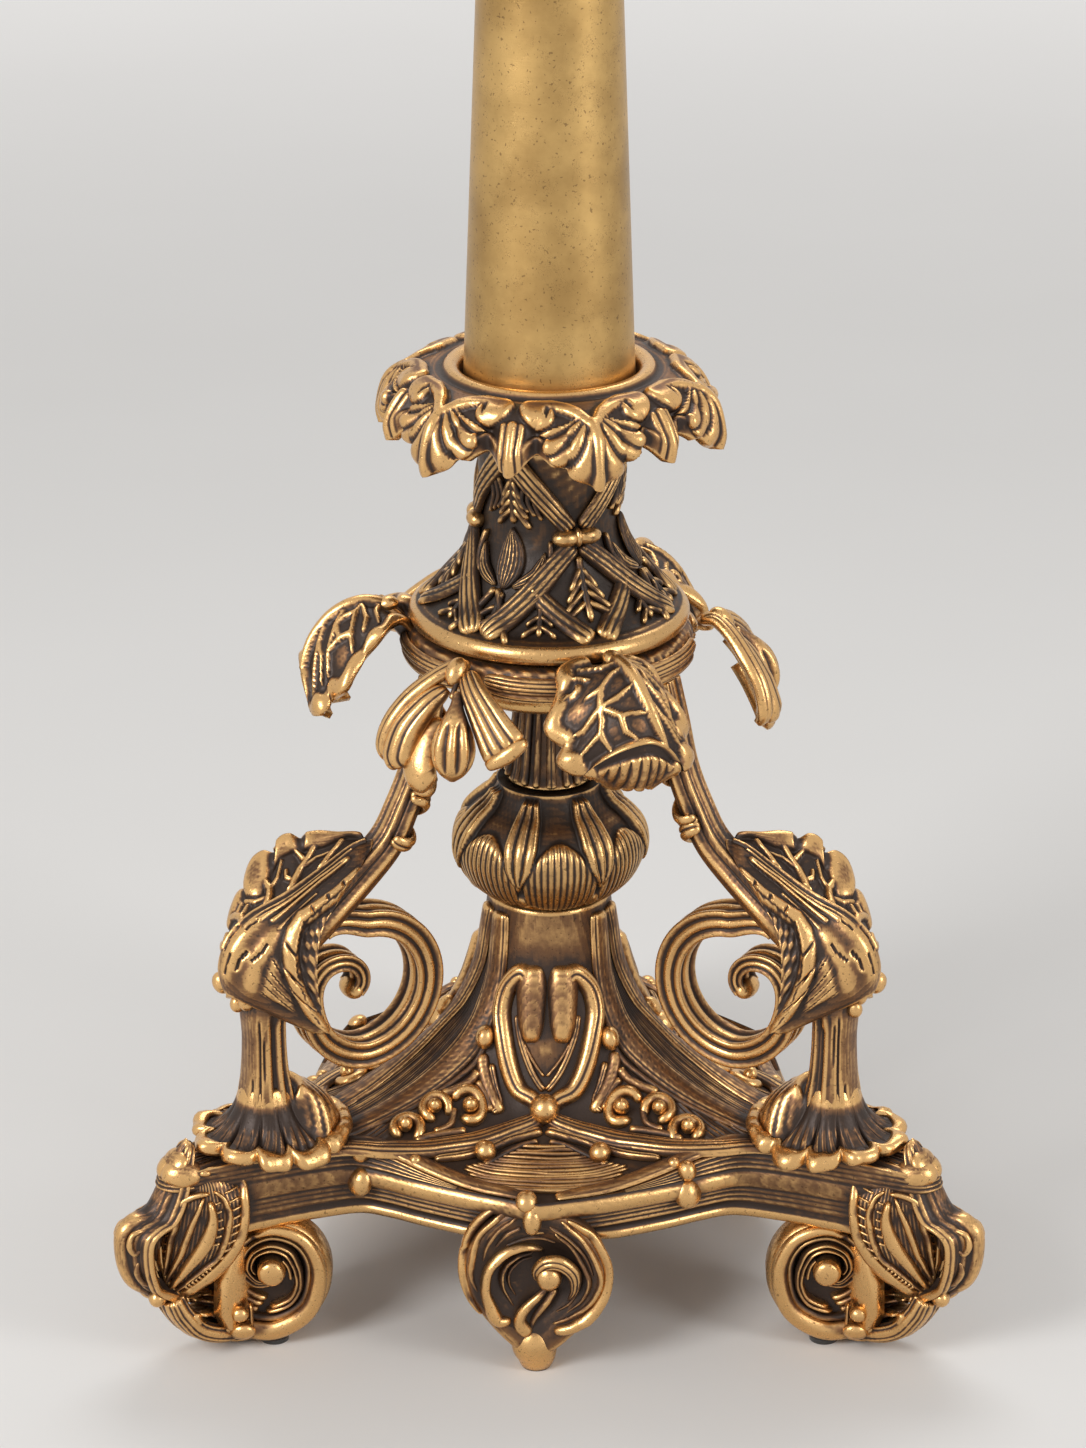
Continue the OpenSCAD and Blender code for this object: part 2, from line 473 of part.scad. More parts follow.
base_plate();
corner_foot(CORNERS[0]);  // corner_foot_1
corner_foot(CORNERS[1]);  // corner_foot_2
corner_foot(CORNERS[2]);  // corner_foot_3
side_foot(SIDES[0]);  // side_foot_1
side_foot(SIDES[1]);  // side_foot_2
side_foot(SIDES[2]);  // side_foot_3
leg(CORNERS[0]);  // leg_1
leg(CORNERS[1]);  // leg_2
leg(CORNERS[2]);  // leg_3
leg_scroll(CORNERS[0]);  // leg_scroll_1
leg_scroll(CORNERS[1]);  // leg_scroll_2
leg_scroll(CORNERS[2]);  // leg_scroll_3
knee_leaf(CORNERS[0], 1);  // knee_leaf_1
knee_leaf(CORNERS[1], -1);  // knee_leaf_2
knee_leaf(CORNERS[2], 1);  // knee_leaf_3
foot_leaf(CORNERS[0]);  // foot_leaf_1
foot_leaf(CORNERS[1]);  // foot_leaf_2
foot_leaf(CORNERS[2]);  // foot_leaf_3
bulb();
fluted_stem();
stem_disc();
ribbon_ring();
ring_leaf(LEAVES[0]);  // ring_leaf_1
ring_leaf(LEAVES[1]);  // ring_leaf_2
ring_leaf(LEAVES[2]);  // ring_leaf_3
bow(BOWS[0]);  // bow_1
bow(BOWS[1]);  // bow_2
bow(BOWS[2]);  // bow_3
neck();
collar();
column();
column_cap();
drip_pan();
candle_cup();
tie_rod();
base_washer();
base_nut();
foot_screws();
leg_screws();
floor_pads();
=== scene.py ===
# %% [markdown]
# # A torchere candle stand in chased brass
#
# The real stand is a stack of brass castings on a long rod. Each was cast rough, then chased with small
# chisels, stained dark brown and rubbed bright again on its high points. This notebook builds the ornament
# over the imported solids, in millimetres, and turns it into metres when a mesh is made.

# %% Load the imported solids
import bpy
import math
import time
import numpy as np
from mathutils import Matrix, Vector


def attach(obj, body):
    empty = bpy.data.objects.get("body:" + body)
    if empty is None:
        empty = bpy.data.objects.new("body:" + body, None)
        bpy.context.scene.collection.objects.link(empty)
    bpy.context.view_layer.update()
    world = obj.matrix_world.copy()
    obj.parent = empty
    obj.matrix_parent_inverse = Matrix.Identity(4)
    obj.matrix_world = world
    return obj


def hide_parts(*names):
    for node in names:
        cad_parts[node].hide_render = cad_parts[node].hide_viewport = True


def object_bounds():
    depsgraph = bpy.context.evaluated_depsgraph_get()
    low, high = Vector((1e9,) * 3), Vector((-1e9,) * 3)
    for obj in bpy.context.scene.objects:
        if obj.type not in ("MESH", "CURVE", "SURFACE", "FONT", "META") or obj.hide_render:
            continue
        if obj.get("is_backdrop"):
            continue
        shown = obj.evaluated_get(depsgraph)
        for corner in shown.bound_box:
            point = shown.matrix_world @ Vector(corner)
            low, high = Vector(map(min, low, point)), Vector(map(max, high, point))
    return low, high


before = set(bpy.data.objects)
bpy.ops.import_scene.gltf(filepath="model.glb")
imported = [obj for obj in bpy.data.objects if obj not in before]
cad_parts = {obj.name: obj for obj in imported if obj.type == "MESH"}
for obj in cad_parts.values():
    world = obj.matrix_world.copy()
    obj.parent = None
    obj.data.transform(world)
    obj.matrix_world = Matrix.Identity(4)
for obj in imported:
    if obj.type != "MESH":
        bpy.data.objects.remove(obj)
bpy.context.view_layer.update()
START = time.time()
MADE = []                       # every new piece, for the finishing passes at the end

# %% [markdown]
# ## The photograph's camera
#
# A long lens far away keeps the legs from splaying. The camera looks down by 22.5 degrees, as the ellipses of
# the collar and of the disc tell. The frame is 1086 by 1448, so the sensor is fitted to the height.

# %% Camera
SENSOR = 36.0                                     # mm
FOCAL_LENGTH, FRAME_HEIGHT = 4330, 1448           # pixels of the photograph

lens_data = bpy.data.cameras.new("photo_camera")
lens_data.sensor_fit = "VERTICAL"
lens_data.sensor_height = SENSOR
lens_data.lens = FOCAL_LENGTH * SENSOR / FRAME_HEIGHT
camera = bpy.data.objects.new("photo_camera", lens_data)
camera.location = (-0.003, -1.926, 1.086)
camera.rotation_euler = (math.radians(67.5), 0, 0)
bpy.context.scene.collection.objects.link(camera)
bpy.context.scene.camera = camera
print("camera lens", round(lens_data.lens, 1), "mm")

# %% [markdown]
# ## Small numbers that shape everything
#
# Most of a chased surface is one easy step from low to high, a soft hill, or a smooth curve through a few
# measured rows. These helpers work on whole arrays, so no shape below needs a loop over its points.

# %% Shaping helpers
CORNERS, SIDES = (210, 330, 90), (270, 30, 150)   # arms and legs; middles of the sides
LEAVES, BOWS = (180, 292, 60), (240, 0, 120)      # what springs from the ribbon ring
SWING = -3.2                                      # turn of each side's point


def unit(v):
    """Vectors divided by their own length."""
    return v / np.maximum(np.linalg.norm(v, axis=-1, keepdims=True), 1e-9)


def mix(a, b, t):
    """a where t is 0 and b where t is 1: a + (b - a) t."""
    return a + (b - a) * t


def ramp(a, b, x):
    """Smooth step from 0 at a to 1 at b: with u the clamped share of the way, u squared times (3 - 2 u)."""
    u = np.clip((np.asarray(x, float) - a) / (b - a), 0, 1)
    return u * u * (3 - 2 * u)


def bump(centre, width, x):
    """Soft hill: e to the minus of ((x - centre) / width) squared."""
    return np.exp(-(((np.asarray(x, float) - centre) / width) ** 2))


def rows_at(rows, t):
    """Smooth curve through the rows of a table (Catmull-Rom): t counts rows, and each column is blended alike
    from the four rows round t."""
    rows = np.asarray(rows, float)
    last = len(rows) - 1
    t = np.asarray(t, float)
    i = np.clip(np.floor(t).astype(int), 0, last - 1)
    u = (t - i).reshape(t.shape + (1,) * (rows.ndim - 1))
    p0, p1, p2, p3 = rows[np.maximum(i - 1, 0)], rows[i], rows[i + 1], rows[np.minimum(i + 2, last)]
    return (0.5 * (2 * p1 + (p2 - p0) * u + (2 * p0 - 5 * p1 + 4 * p2 - p3) * u**2
                   + (3 * p1 - p0 - 3 * p2 + p3) * u**3))


def curve(rows, steps):
    """steps + 1 points evenly along a table's rows."""
    return rows_at(rows, np.linspace(0, len(rows) - 1, steps + 1))


def graded(steps, at, values):
    """steps + 1 numbers evenly along a strap, on straight lines between the values at the given shares."""
    return np.interp(np.linspace(0, 1, steps + 1), at, values)


def even(steps, values):
    """steps + 1 numbers evenly along a strap, on straight lines between evenly spread values."""
    return graded(steps, np.linspace(0, 1, len(values)), values)


def turn(P, degrees):
    """Points turned about the upright axis."""
    a = np.radians(degrees)
    x, y = P[..., 0], P[..., 1]
    return np.stack([x * np.cos(a) - y * np.sin(a), x * np.sin(a) + y * np.cos(a), P[..., 2]], -1)


def waver(P, size=14.0, depth=0.25):
    """Unevenness of a sand casting: a sum of three sines of mixed directions, about size mm long."""
    k = 2 * np.pi / size
    x, y, z = P[..., 0], P[..., 1], P[..., 2]
    return depth * (np.sin(k * (x + 0.7 * y + 0.4 * z)) + np.sin(k * (1.3 * z - 0.6 * x) + 1.7)
                    + np.sin(k * (0.9 * y - 1.1 * z + 0.5 * x) + 4.0)) / 3

# %% [markdown]
# ## From grids of points to closed shells
#
# Every form here is a grid of points: rings along a path, or a sheet with two faces. A shell remembers its
# points and its faces, and turns itself inside out if its volume comes out negative, so that all faces look
# outwards. A piece is one or more shells in one mesh, as ornament is soldered to its ground.

# %% Shells and pieces
def shell(P, loop=False):
    """Closed shell of a grid (rings, points round, 3). Rings are joined along, and each ring closes on
    itself. The ends close onto their middle point, or the last ring meets the first when loop is set."""
    n, m = P.shape[:2]
    i = np.arange(n if loop else n - 1)[:, None]
    j = np.arange(m)[None, :]
    k, l = (i + 1) % n, (j + 1) % m
    quads = np.stack([i * m + j, i * m + l, k * m + l, k * m + j], -1).reshape(-1, 4)
    V, tris = P.reshape(-1, 3), np.zeros((0, 3), int)
    if not loop:
        V = np.concatenate([V, P[0].mean(0)[None], P[-1].mean(0)[None]])
        j, l = j[0], l[0]
        a, b = np.full(m, n * m), np.full(m, n * m + 1)
        tris = np.concatenate([np.stack([l, j, a], -1), np.stack([(n - 1) * m + j, (n - 1) * m + l, b], -1)])
    T = np.concatenate([quads[:, :3], quads[:, [0, 2, 3]], tris])
    A, B, C = V[T[:, 0]], V[T[:, 1]], V[T[:, 2]]
    if (A * np.cross(B, C)).sum() < 0:
        quads, tris = quads[:, ::-1], tris[:, ::-1]
    return V, quads, tris


def piece(name, shells, node, finish, turned=0.0, mirror=False):
    """One Blender object from shells given in mm: metres, smooth shading, riding on the one body, standing
    for a node of the solids, with its finish."""
    V, Q, T, at = [], [], [], 0
    for v, q, t in shells:
        v = v * (1, -1, 1) if mirror else v
        q, t = (q[:, ::-1], t[:, ::-1]) if mirror else (q, t)
        V.append(v)
        Q.append(q + at)
        T.append(t + at)
        at += len(v)
    V, Q, T = turn(np.concatenate(V), turned), np.concatenate(Q), np.concatenate(T)
    me = bpy.data.meshes.new(name)
    me.vertices.add(len(V))
    me.vertices.foreach_set("co", (V * 0.001).astype(np.float32).ravel())
    corners = np.concatenate([Q.ravel(), T.ravel()]).astype(np.int32)
    me.loops.add(len(corners))
    me.loops.foreach_set("vertex_index", corners)
    me.polygons.add(len(Q) + len(T))
    me.polygons.foreach_set("loop_start",
                            np.concatenate([np.arange(len(Q)) * 4, len(Q) * 4 + np.arange(len(T))
                                            * 3]).astype(np.int32))
    me.update(calc_edges=True)
    me.shade_smooth()
    me.materials.append(finish)
    ob = bpy.data.objects.new(name, me)
    bpy.context.scene.collection.objects.link(ob)
    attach(ob, "root")
    if node:
        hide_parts(node)
    MADE.append(ob)
    print(f"{name}: {2 * len(Q) + len(T)} triangles")
    return ob


def sweep(path, up, section):
    """Closed section carried along a path. Each section point is (sideways, upwards): upwards is the up
    vector made square to the path, and sideways is square to both."""
    t = unit(np.gradient(path, axis=0))
    up = np.broadcast_to(np.asarray(up, float), path.shape)
    u = unit(up - t * (t * up).sum(-1, keepdims=True))
    s = np.cross(t, u)
    return shell(path[:, None] + s[:, None] * section[..., :1] + u[:, None] * section[..., 1:])


def reeds(x, count):
    """Bundle of round reeds across -1..1: the height of a half circle in each of count equal parts."""
    f = (x + 1) * 0.5 * count
    f = 2 * (f - np.floor(f)) - 1
    return np.sqrt(np.maximum(1 - f * f, 0))


def strand(path, up, width, height, count=3, depth=0.35, under=1.5, ends=0.12, fine=6, flat=0.0):
    """Raised strap of reeds on a ground: across it runs a half ellipse of the given half width and height,
    cut by the reeds to the given share of its height. The ends round off over a share of the length."""
    n = len(path)
    x = np.linspace(0, 1, n)
    e = np.sqrt(np.maximum(1 - (1 - np.minimum(np.minimum(x, 1 - x) / max(ends, 1e-6), 1)) ** 2, 0.004))
    w, h = np.broadcast_to(width, n) * mix(0.35, 1, e), np.broadcast_to(height, n) * e
    top = -np.cos(np.linspace(0, np.pi, max(count, 2) * fine + 1))
    body = (1 - np.abs(top) ** (2 + 6 * flat)) ** 0.5
    body = body * (1 - depth + depth * reeds(top, count)) if count > 1 else body
    low = np.linspace(1, -1, 5)[1:-1]
    sec = np.concatenate([np.stack([w[:, None] * top, h[:, None] * body], -1),
                          np.stack([w[:, None] * low, np.full((n, 3), -under)], -1)], 1)
    return sweep(path, up, sec)


def ball(centre, up, along, size, rings=10, round_=16):
    """Bead: a sphere stretched to half axes size = (along, across, up), set square to the up vector."""
    centre, up = np.asarray(centre, float), unit(np.asarray(up, float))
    a = np.asarray(along, float)
    a = unit(a - up * (a @ up))
    b = np.cross(up, a)
    f = np.linspace(0.06, np.pi - 0.06, rings)[:, None]
    g = np.linspace(0, 2 * np.pi, round_, endpoint=False)[None, :]
    P = (centre + a * (size[0] * np.sin(f) * np.cos(g))[..., None]
         + b * (size[1] * np.sin(f) * np.sin(g))[..., None]
         + up * (size[2] * np.cos(f) * np.ones_like(g))[..., None])
    return shell(P)


def lathe(profile, relief=None, round_=180):
    """Closed ring turned from a profile of (reach, height) points; relief(angle, row, points, outward) may
    move the points of the grid before it is closed."""
    profile = np.asarray(profile, float)
    a = np.radians(np.arange(round_) * 360 / round_)[:, None]
    r, z = profile[None, :, 0], profile[None, :, 1]
    P = np.stack([r * np.cos(a), r * np.sin(a), z + 0 * a], -1)
    if relief is not None:
        t = unit(np.roll(profile, -1, 0) - np.roll(profile, 1, 0))
        out = np.stack([t[None, :, 1] * np.cos(a), t[None, :, 1] * np.sin(a), -t[None, :, 0] + 0 * a], -1)
        P = relief(np.degrees(a), np.arange(len(profile))[None, :], P, out)
    return shell(P, loop=True)


def leaf(P, thick, lift=None):
    """Closed leaf of a sheet of points (along, across, 3). lift moves the upper face along its normal, and
    the lower face lies thick below the unlifted sheet, thinner towards the edges."""
    du, dv = np.gradient(P, axis=0), np.gradient(P, axis=1)
    N = unit(np.cross(du, dv))
    m = P.shape[1]
    top = P if lift is None else P + N * lift[..., None]
    edge = np.minimum(1, 3.2 * (0.5 - np.abs(np.linspace(-0.5, 0.5, m))) + 0.25)[None, :, None]
    low = P - N * (np.asarray(thick) * edge if np.isscalar(thick) else thick[..., None] * edge)
    return shell(np.concatenate([top, low[:, ::-1]], 1))


print("helpers ready")

# %% [markdown]
# ## Writing shader maths as Python
#
# Blender's materials are graphs of nodes. A small class lets `wear * 0.5 + grain` build its Math nodes by
# itself, so each finish below reads as a formula. Every other node comes from one method.

# %% Shader expressions
class Value:
    """An output socket that can be used in a formula."""

    def __init__(self, tree, socket):
        self.tree, self.socket = tree, socket

    def node(self, kind, inputs=None, out=0, **settings):
        """Adds a node: its settings first, then the values or links of its sockets."""
        made = self.tree.nodes.new("ShaderNode" + kind)
        for key, value in settings.items():
            setattr(made, key, value)
        for key, value in (inputs or {}).items():
            if isinstance(value, Value):
                self.tree.links.new(value.socket, made.inputs[key])
            else:
                made.inputs[key].default_value = value
        return Value(self.tree, made.outputs[out])

    def maths(self, operation, *others):
        return self.node("Math", dict(enumerate((self, *others))), operation=operation)

    def __add__(self, other):
        return self.maths("ADD", other)

    __radd__ = __add__

    def __sub__(self, other):
        return self.maths("SUBTRACT", other)

    def __rsub__(self, other):
        return (self * -1.0) + other

    def __mul__(self, other):
        return self.maths("MULTIPLY", other)

    __rmul__ = __mul__

    def step(self, low, high):
        """Smooth step from 0 at low to 1 at high."""
        return self.node("MapRange", {"Value": self, "From Min": low, "From Max": high},
                         interpolation_type="SMOOTHSTEP")

    def blend(self, a, b):
        """Colour a where this value is 0 and b where it is 1."""
        made = self.node("Mix", data_type="RGBA", out=2)
        mix_node = made.socket.node
        for socket, value in zip((mix_node.inputs[0], mix_node.inputs[6], mix_node.inputs[7]), (self, a, b)):
            if isinstance(value, Value):
                self.tree.links.new(value.socket, socket)
            else:
                socket.default_value = (*value, 1) if isinstance(value, tuple) else value
        return made


def material(name):
    """New material: its tree's Object coordinates, and its main shader."""
    made = bpy.data.materials.new(name)
    made.use_nodes = True
    tree = made.node_tree
    tree.nodes.clear()
    shader = tree.nodes.new("ShaderNodeBsdfPrincipled")
    out = tree.nodes.new("ShaderNodeOutputMaterial")
    tree.links.new(shader.outputs[0], out.inputs[0])
    where = Value(tree, tree.nodes.new("ShaderNodeTexCoord").outputs["Object"])
    return made, where, shader


def set_shader(shader, **sockets):
    """Sets or links the main shader's sockets by name, with _ for a space."""
    for name, value in sockets.items():
        socket = shader.inputs[name.replace("_", " ")]
        if isinstance(value, Value):
            value.tree.links.new(value.socket, socket)
        else:
            socket.default_value = value


def noise(where, scale, detail=3.0, rough=0.5):
    """Cloudy pattern from 0 to 1, with scale lumps to the metre."""
    return where.node("TexNoise", {"Vector": where, "Scale": scale, "Detail": detail, "Roughness": rough})

# %% [markdown]
# ## Chased brass
#
# The look is a story of rubbing: stain stays in the hollows, and the cloth brings back the gold on whatever
# stands proud. So the finish needs to know how proud each point is. One number, *wear and crevice shade*, is
# worked out from the shape of each finished mesh and stored on its points; it also darkens points tucked
# close to other surfaces, as stain and as painted shade. The shader adds clouds, pits and a fine grain.

# %% The finish of the castings
def chased_brass(name, stain, bronze, gold, shift=0.0, pits=0.5):
    """Three tones by wear and painted crevice shade: stain in the hollows, bronze between, gold on the high
    points, with tucked corners painted dark as shade too. That number is shifted, and two sizes of cloud move
    it up and down. Pits are small spots of stain, and what is rubbed is smoother."""
    made, where, shader = material(name)
    wear_and_crevice_shade = where.node("Attribute", attribute_name="wear_and_crevice_shade", attribute_type="GEOMETRY", out="Fac")
    cloud, fine = noise(where, 45.0, 4.0, 0.6), noise(where, 420.0, 3.0, 0.6)
    # the attribute read above holds rubbing and stain, and painted shade where points lie close to other
    # parts
    rubbed_and_shaded = wear_and_crevice_shade + (cloud - 0.5) * 0.30 + (fine - 0.5) * 0.22 + shift
    low, high = rubbed_and_shaded.step(0.10, 0.46), rubbed_and_shaded.step(0.38, 0.76)
    specks = noise(where, 700.0, 1.0).step(0.665, 0.72) * pits
    tone = low.blend(stain, bronze)
    tone = high.blend(tone, gold)
    tone = (noise(where, 16.0, 2.0).step(0.35, 0.7) * 0.28 * high).blend(tone, tuple(c * 0.72 for c in gold))
    tone = specks.blend(tone, stain)
    rough = 0.46 - high * 0.18 + (fine - 0.5) * 0.16 + specks * 0.2
    grain = noise(where, 900.0, 2.0) * 0.45 + noise(where, 260.0, 3.0) * 0.55 - specks * 0.8
    normal = where.node("Bump", {"Height": grain, "Strength": 0.32, "Distance": 0.0006})
    set_shader(shader, Base_Color=tone, Metallic=low * 0.55 + 0.42, Roughness=rough, Normal=normal)
    return made


STAIN, BRONZE, GOLD = (0.040, 0.024, 0.017), (0.235, 0.122, 0.062), (0.76, 0.455, 0.185)
BRIGHT = chased_brass("chased brass", STAIN, BRONZE, GOLD, shift=-0.065)
DIM = chased_brass("dark chased brass", (0.028, 0.018, 0.013), (0.150, 0.082, 0.045), (0.66, 0.40, 0.165),
                   shift=-0.05)
DARK = chased_brass("dark ground brass", (0.026, 0.016, 0.011), (0.120, 0.066, 0.037), (0.68, 0.41, 0.168),
                    shift=-0.17)
BROWN = chased_brass("brown chased brass", STAIN, (0.190, 0.100, 0.052), (0.70, 0.42, 0.170), shift=-0.09)
PLAIN = chased_brass("worn cast brass", STAIN, (0.27, 0.148, 0.066), (0.70, 0.425, 0.165), shift=0.05,
                     pits=0.8)

# %% [markdown]
# ## Satin brass, steel and felt
#
# The column is turned, not chased: a warm even tan with clouds of handling, long faint scratches and a fine
# brushing round it. The rod and its screws are plain steel, and the discs are dense felt.

# %% The other finishes
def satin_brass(name):
    """Two tans by clouds, then darker patches, scratches (the crests of a warped wave) and specks over
    them. The brushing is a noise drawn out round the axis, which also lifts the surface a little."""
    made, where, shader = material(name)
    clouds = noise(where, 26.0, 5.0, 0.62)
    patch = noise(where, 9.0, 3.0, 0.55)
    brushed = noise(where.node("Mapping", {"Vector": where, "Scale": (60.0, 60.0, 1500.0)}), 1.0, 3.0)
    swirl = where.node("TexWave", {"Vector": where, "Scale": 90.0, "Distortion": 34.0, "Detail": 3.0,
                                   "Detail Scale": 2.2})
    scratch = swirl.step(0.93, 1.0) * noise(where, 120.0, 2.0).step(0.5, 0.62)
    specks = noise(where, 620.0, 1.0).step(0.67, 0.72)
    tone = clouds.step(0.28, 0.72).blend((0.40, 0.245, 0.088), (0.66, 0.430, 0.165))
    tone = (patch.step(0.42, 0.66) * 0.45).blend(tone, (0.48, 0.290, 0.10))
    tone = (scratch * 0.5).blend(tone, (0.20, 0.12, 0.05))
    tone = (specks * 0.55).blend(tone, (0.11, 0.06, 0.03))
    rough = 0.36 + (clouds - 0.5) * 0.22 + (brushed - 0.5) * 0.10
    normal = where.node("Bump", {"Height": brushed * 0.4 + clouds * 0.5 - scratch * 0.5, "Strength": 0.20,
                                 "Distance": 0.0004})
    set_shader(shader, Base_Color=tone, Metallic=0.92, Roughness=rough, Normal=normal)
    return made


def steel(name):
    """Grey with streaks drawn out along the rod."""
    made, where, shader = material(name)
    streak = noise(where.node("Mapping", {"Vector": where, "Scale": (400.0, 400.0, 30.0)}), 1.0, 3.0)
    tone = streak.blend((0.36, 0.36, 0.355), (0.60, 0.59, 0.58))
    set_shader(shader, Base_Color=tone, Metallic=1.0, Roughness=streak * 0.2 + 0.28,
               Normal=where.node("Bump", {"Height": streak, "Strength": 0.15, "Distance": 0.0002}))
    return made


def felt(name):
    """Nearly black fuzz, rough all over, with a faint sheen."""
    made, where, shader = material(name)
    fuzz = noise(where, 1500.0, 4.0, 0.7)
    set_shader(shader, Base_Color=fuzz.blend((0.018, 0.016, 0.014), (0.06, 0.055, 0.05)), Roughness=0.95,
               Sheen_Weight=0.3, Normal=where.node("Bump",
            {"Height": fuzz, "Strength": 0.7, "Distance": 0.0006}))
    return made


SATIN, STEEL, FELT = satin_brass("satin brass"), steel("plain steel"), felt("dense felt")
for node_name, finish in (("tie_rod", STEEL), ("base_washer", STEEL), ("base_nut", STEEL),
                          ("foot_screws", STEEL), ("leg_screws", STEEL), ("floor_pads", FELT)):
    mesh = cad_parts[node_name].data
    mesh.materials.clear()
    mesh.materials.append(finish)
print("finishes:", [m.name for m in bpy.data.materials])

# %% [markdown]
# ## Turned pieces
#
# Column, cap, drip pan, candle cup and the disc under the ring come off a lathe: a profile of reach and
# height goes round the axis. Corners in the profile are rounded first, because a turned edge always catches
# a thin line of light.

# %% Rounded profiles
def rounded(profile, radius=0.8, steps=3):
    """Closed profile with its corners cut to short curves: each corner gives way to points of a parabola that
    starts and ends at most the radius away along its two sides."""
    p = np.asarray(profile, float)
    before, after = np.roll(p, 1, 0) - p, np.roll(p, -1, 0) - p
    cut = lambda d: unit(d) * np.minimum(radius, 0.45 * np.linalg.norm(d, axis=1, keepdims=True))
    a, b = p + cut(before), p + cut(after)
    t = np.linspace(0, 1, steps + 1)[None, :, None]
    return ((1 - t) ** 2 * a[:, None] + 2 * t * (1 - t) * p[:, None] + t * t * b[:, None]).reshape(-1, 2)


def divided(profile, size):
    """Closed profile with extra points, so that no side is longer than size."""
    out = []
    for a, b in zip(profile, np.roll(profile, -1, 0)):
        out.append(mix(a, b, np.linspace(0, 1, max(1, int(np.linalg.norm(b - a) / size)), endpoint=False)[:,
                None]))
    return np.concatenate(out)


def column_reach(z):
    """The tube's radius in mm: 40 where it leaves the cup, and 0.0376 less for each mm of height."""
    return 40 - 0.0376 * (z - 470)


foot, top, wall = 450, 1000, 2.5                # the tube's ends and its thickness
tube = [[column_reach(foot), foot], [column_reach(top), top], [column_reach(top) - wall, top],
        [column_reach(foot) - wall, foot]]
piece("column_tube", [lathe(divided(rounded(tube), 14), round_=128)], "column", SATIN)
end = column_reach(top)
cap = [[5.6, 986], [end - 2.8, 986], [end - 2.8, top], [end + 1, top], [end + 3.5, 1001.2],
       [end + 5.6, 1004], [end + 6, 1006.5], [end + 4.2, 1008.6], [end + 2.4, 1009.3], [end + 1.2, 1010.4],
       [end - 1, 1012], [5.6, 1012]]
piece("column_end_cap", [lathe(rounded(cap, 0.6), round_=128)], "column_cap", SATIN)
pan = [[5.6, 1012], [18, 1012], [30, 1013.5], [50, 1016], [66, 1019], [73, 1021], [75, 1023], [73, 1025],
       [69, 1024.6], [60, 1022.4], [36, 1021.9], [27, 1024], [5.6, 1024]]
piece("wax_pan", [lathe(rounded(pan, 1.2), round_=160)], "drip_pan", SATIN)
cup = [[0.4, 1024], [24, 1024], [25, 1027], [19, 1031], [15, 1035], [17, 1039], [23, 1044], [26, 1052],
       [25.5, 1062], [24, 1071], [25, 1074], [28, 1076], [28, 1078.2], [27, 1079], [19.5, 1079],
       [19.5, 1044], [5.1, 1043.6], [5.1, 1037.5], [0.4, 1037.5]]
piece("candle_holder", [lathe(rounded(cup, 0.7), round_=128)], "candle_cup", SATIN)
disc = [[5.6, 312], [46, 312], [49.5, 314.5], [50, 317], [49.6, 319.4], [48, 321], [5.6, 321]]
piece("smooth_disc", [lathe(rounded(disc, 0.8), round_=128)], "stem_disc", PLAIN)

# %% [markdown]
# ## The neck and its straps
#
# The neck is a waisted cone with a rough dark ground. Three double knots sit on its waist. From each, two
# reeded straps run down and outwards, two run up, and a third pair meets in a V under it. Wheat ears and
# small ribbed leaves fill the gaps. The straps follow the cone, so a helper gives any point of it from an
# angle and a height.

# %% Points on a turned surface
def on_turned(profile):
    """Function from (degrees, height) to points and outward normals of a surface whose reach is a smooth
    curve through the profile's (reach, height) rows."""
    table = curve(profile, 200)
    order = np.argsort(table[:, 1])
    zs, rs = table[order, 1], table[order, 0]

    def place(az, z):
        az, z = np.broadcast_arrays(np.asarray(az, float), np.asarray(z, float))
        r, slope = np.interp(z, zs, rs), (np.interp(z + 0.5, zs, rs) - np.interp(z - 0.5, zs, rs))
        a = np.radians(az)
        P = np.stack([r * np.cos(a), r * np.sin(a), z], -1)
        N = unit(np.stack([np.cos(a), np.sin(a), -slope], -1))
        return P, N
    return place


def strap_on(place, points, width, height, count=3, steps=30, lift=0, **more):
    """Reeded strap laid on a surface through a few (across, along) points of its chart."""
    c = curve(points, steps)
    P, N = place(c[:, 0], c[:, 1])
    return strand(P + N * lift, N, width, height, count, **more)


def wheat(place, az, z0, z1, spread=7, ears=4, size=1.1):
    """Wheat ear on a surface: a stalk from z0 to z1 and pairs of barbs that lean back from it. spread is the
    barbs' reach in degrees."""
    out = [strap_on(place, [[az, z0], [az, (z0 + z1) / 2], [az, z1]], size * 0.8, 1.6, 1, 10)]
    for k in range(ears):
        z = mix(z0, z1, 0.3 + 0.68 * k / ears)
        back = (z1 - z0) * 0.36
        for side in (-1, 1):
            reach = spread * (1 - 0.16 * k)
            out.append(strap_on(place, [[az, z], [az + side * reach * 0.55, z - back * 0.5],
                                        [az + side * reach, z - back]], size * 0.7, 1.9, 1, 8, ends=0.35))
    return out


NECK = [[64.8, 350], [61.4, 353.5], [53.4, 359.5], [45, 370], [38.4, 381], [34.6, 390], [33.4, 396],
        [33.4, 404], [34.2, 412], [35, 424], [36, 438]]
neck_at = on_turned(NECK)
flank = curve(NECK, 100)
outside = np.concatenate([[[44, 321], [50, 321], [50, 343.6], [58, 343.6], [64.6, 344], [66.2, 345.2],
                           [66.9, 347.4], [66.8, 349.4], [65.8, 351.4], [64.2, 352.6], [62.4, 353]],
                          flank[flank[:, 1] > 353.6]])
inside = [[5.6, 438], [5.6, 426], [28, 426], [27, 404], [26.5, 396], [28, 390], [32, 381], [38, 370],
          [46, 360], [52, 353], [52, 349], [44, 343]]


def neck_ground(a, row, P, out):
    """Above the smooth band at its foot, the neck's ground is sunk by 1.3 mm and roughened."""
    z, r = P[..., 2], np.hypot(P[..., 0], P[..., 1])
    ground = ramp(353.5, 356, z) * (r > 30)
    return P + out * (ground * (-1.3 + waver(P, 7, 0.1)))[..., None]


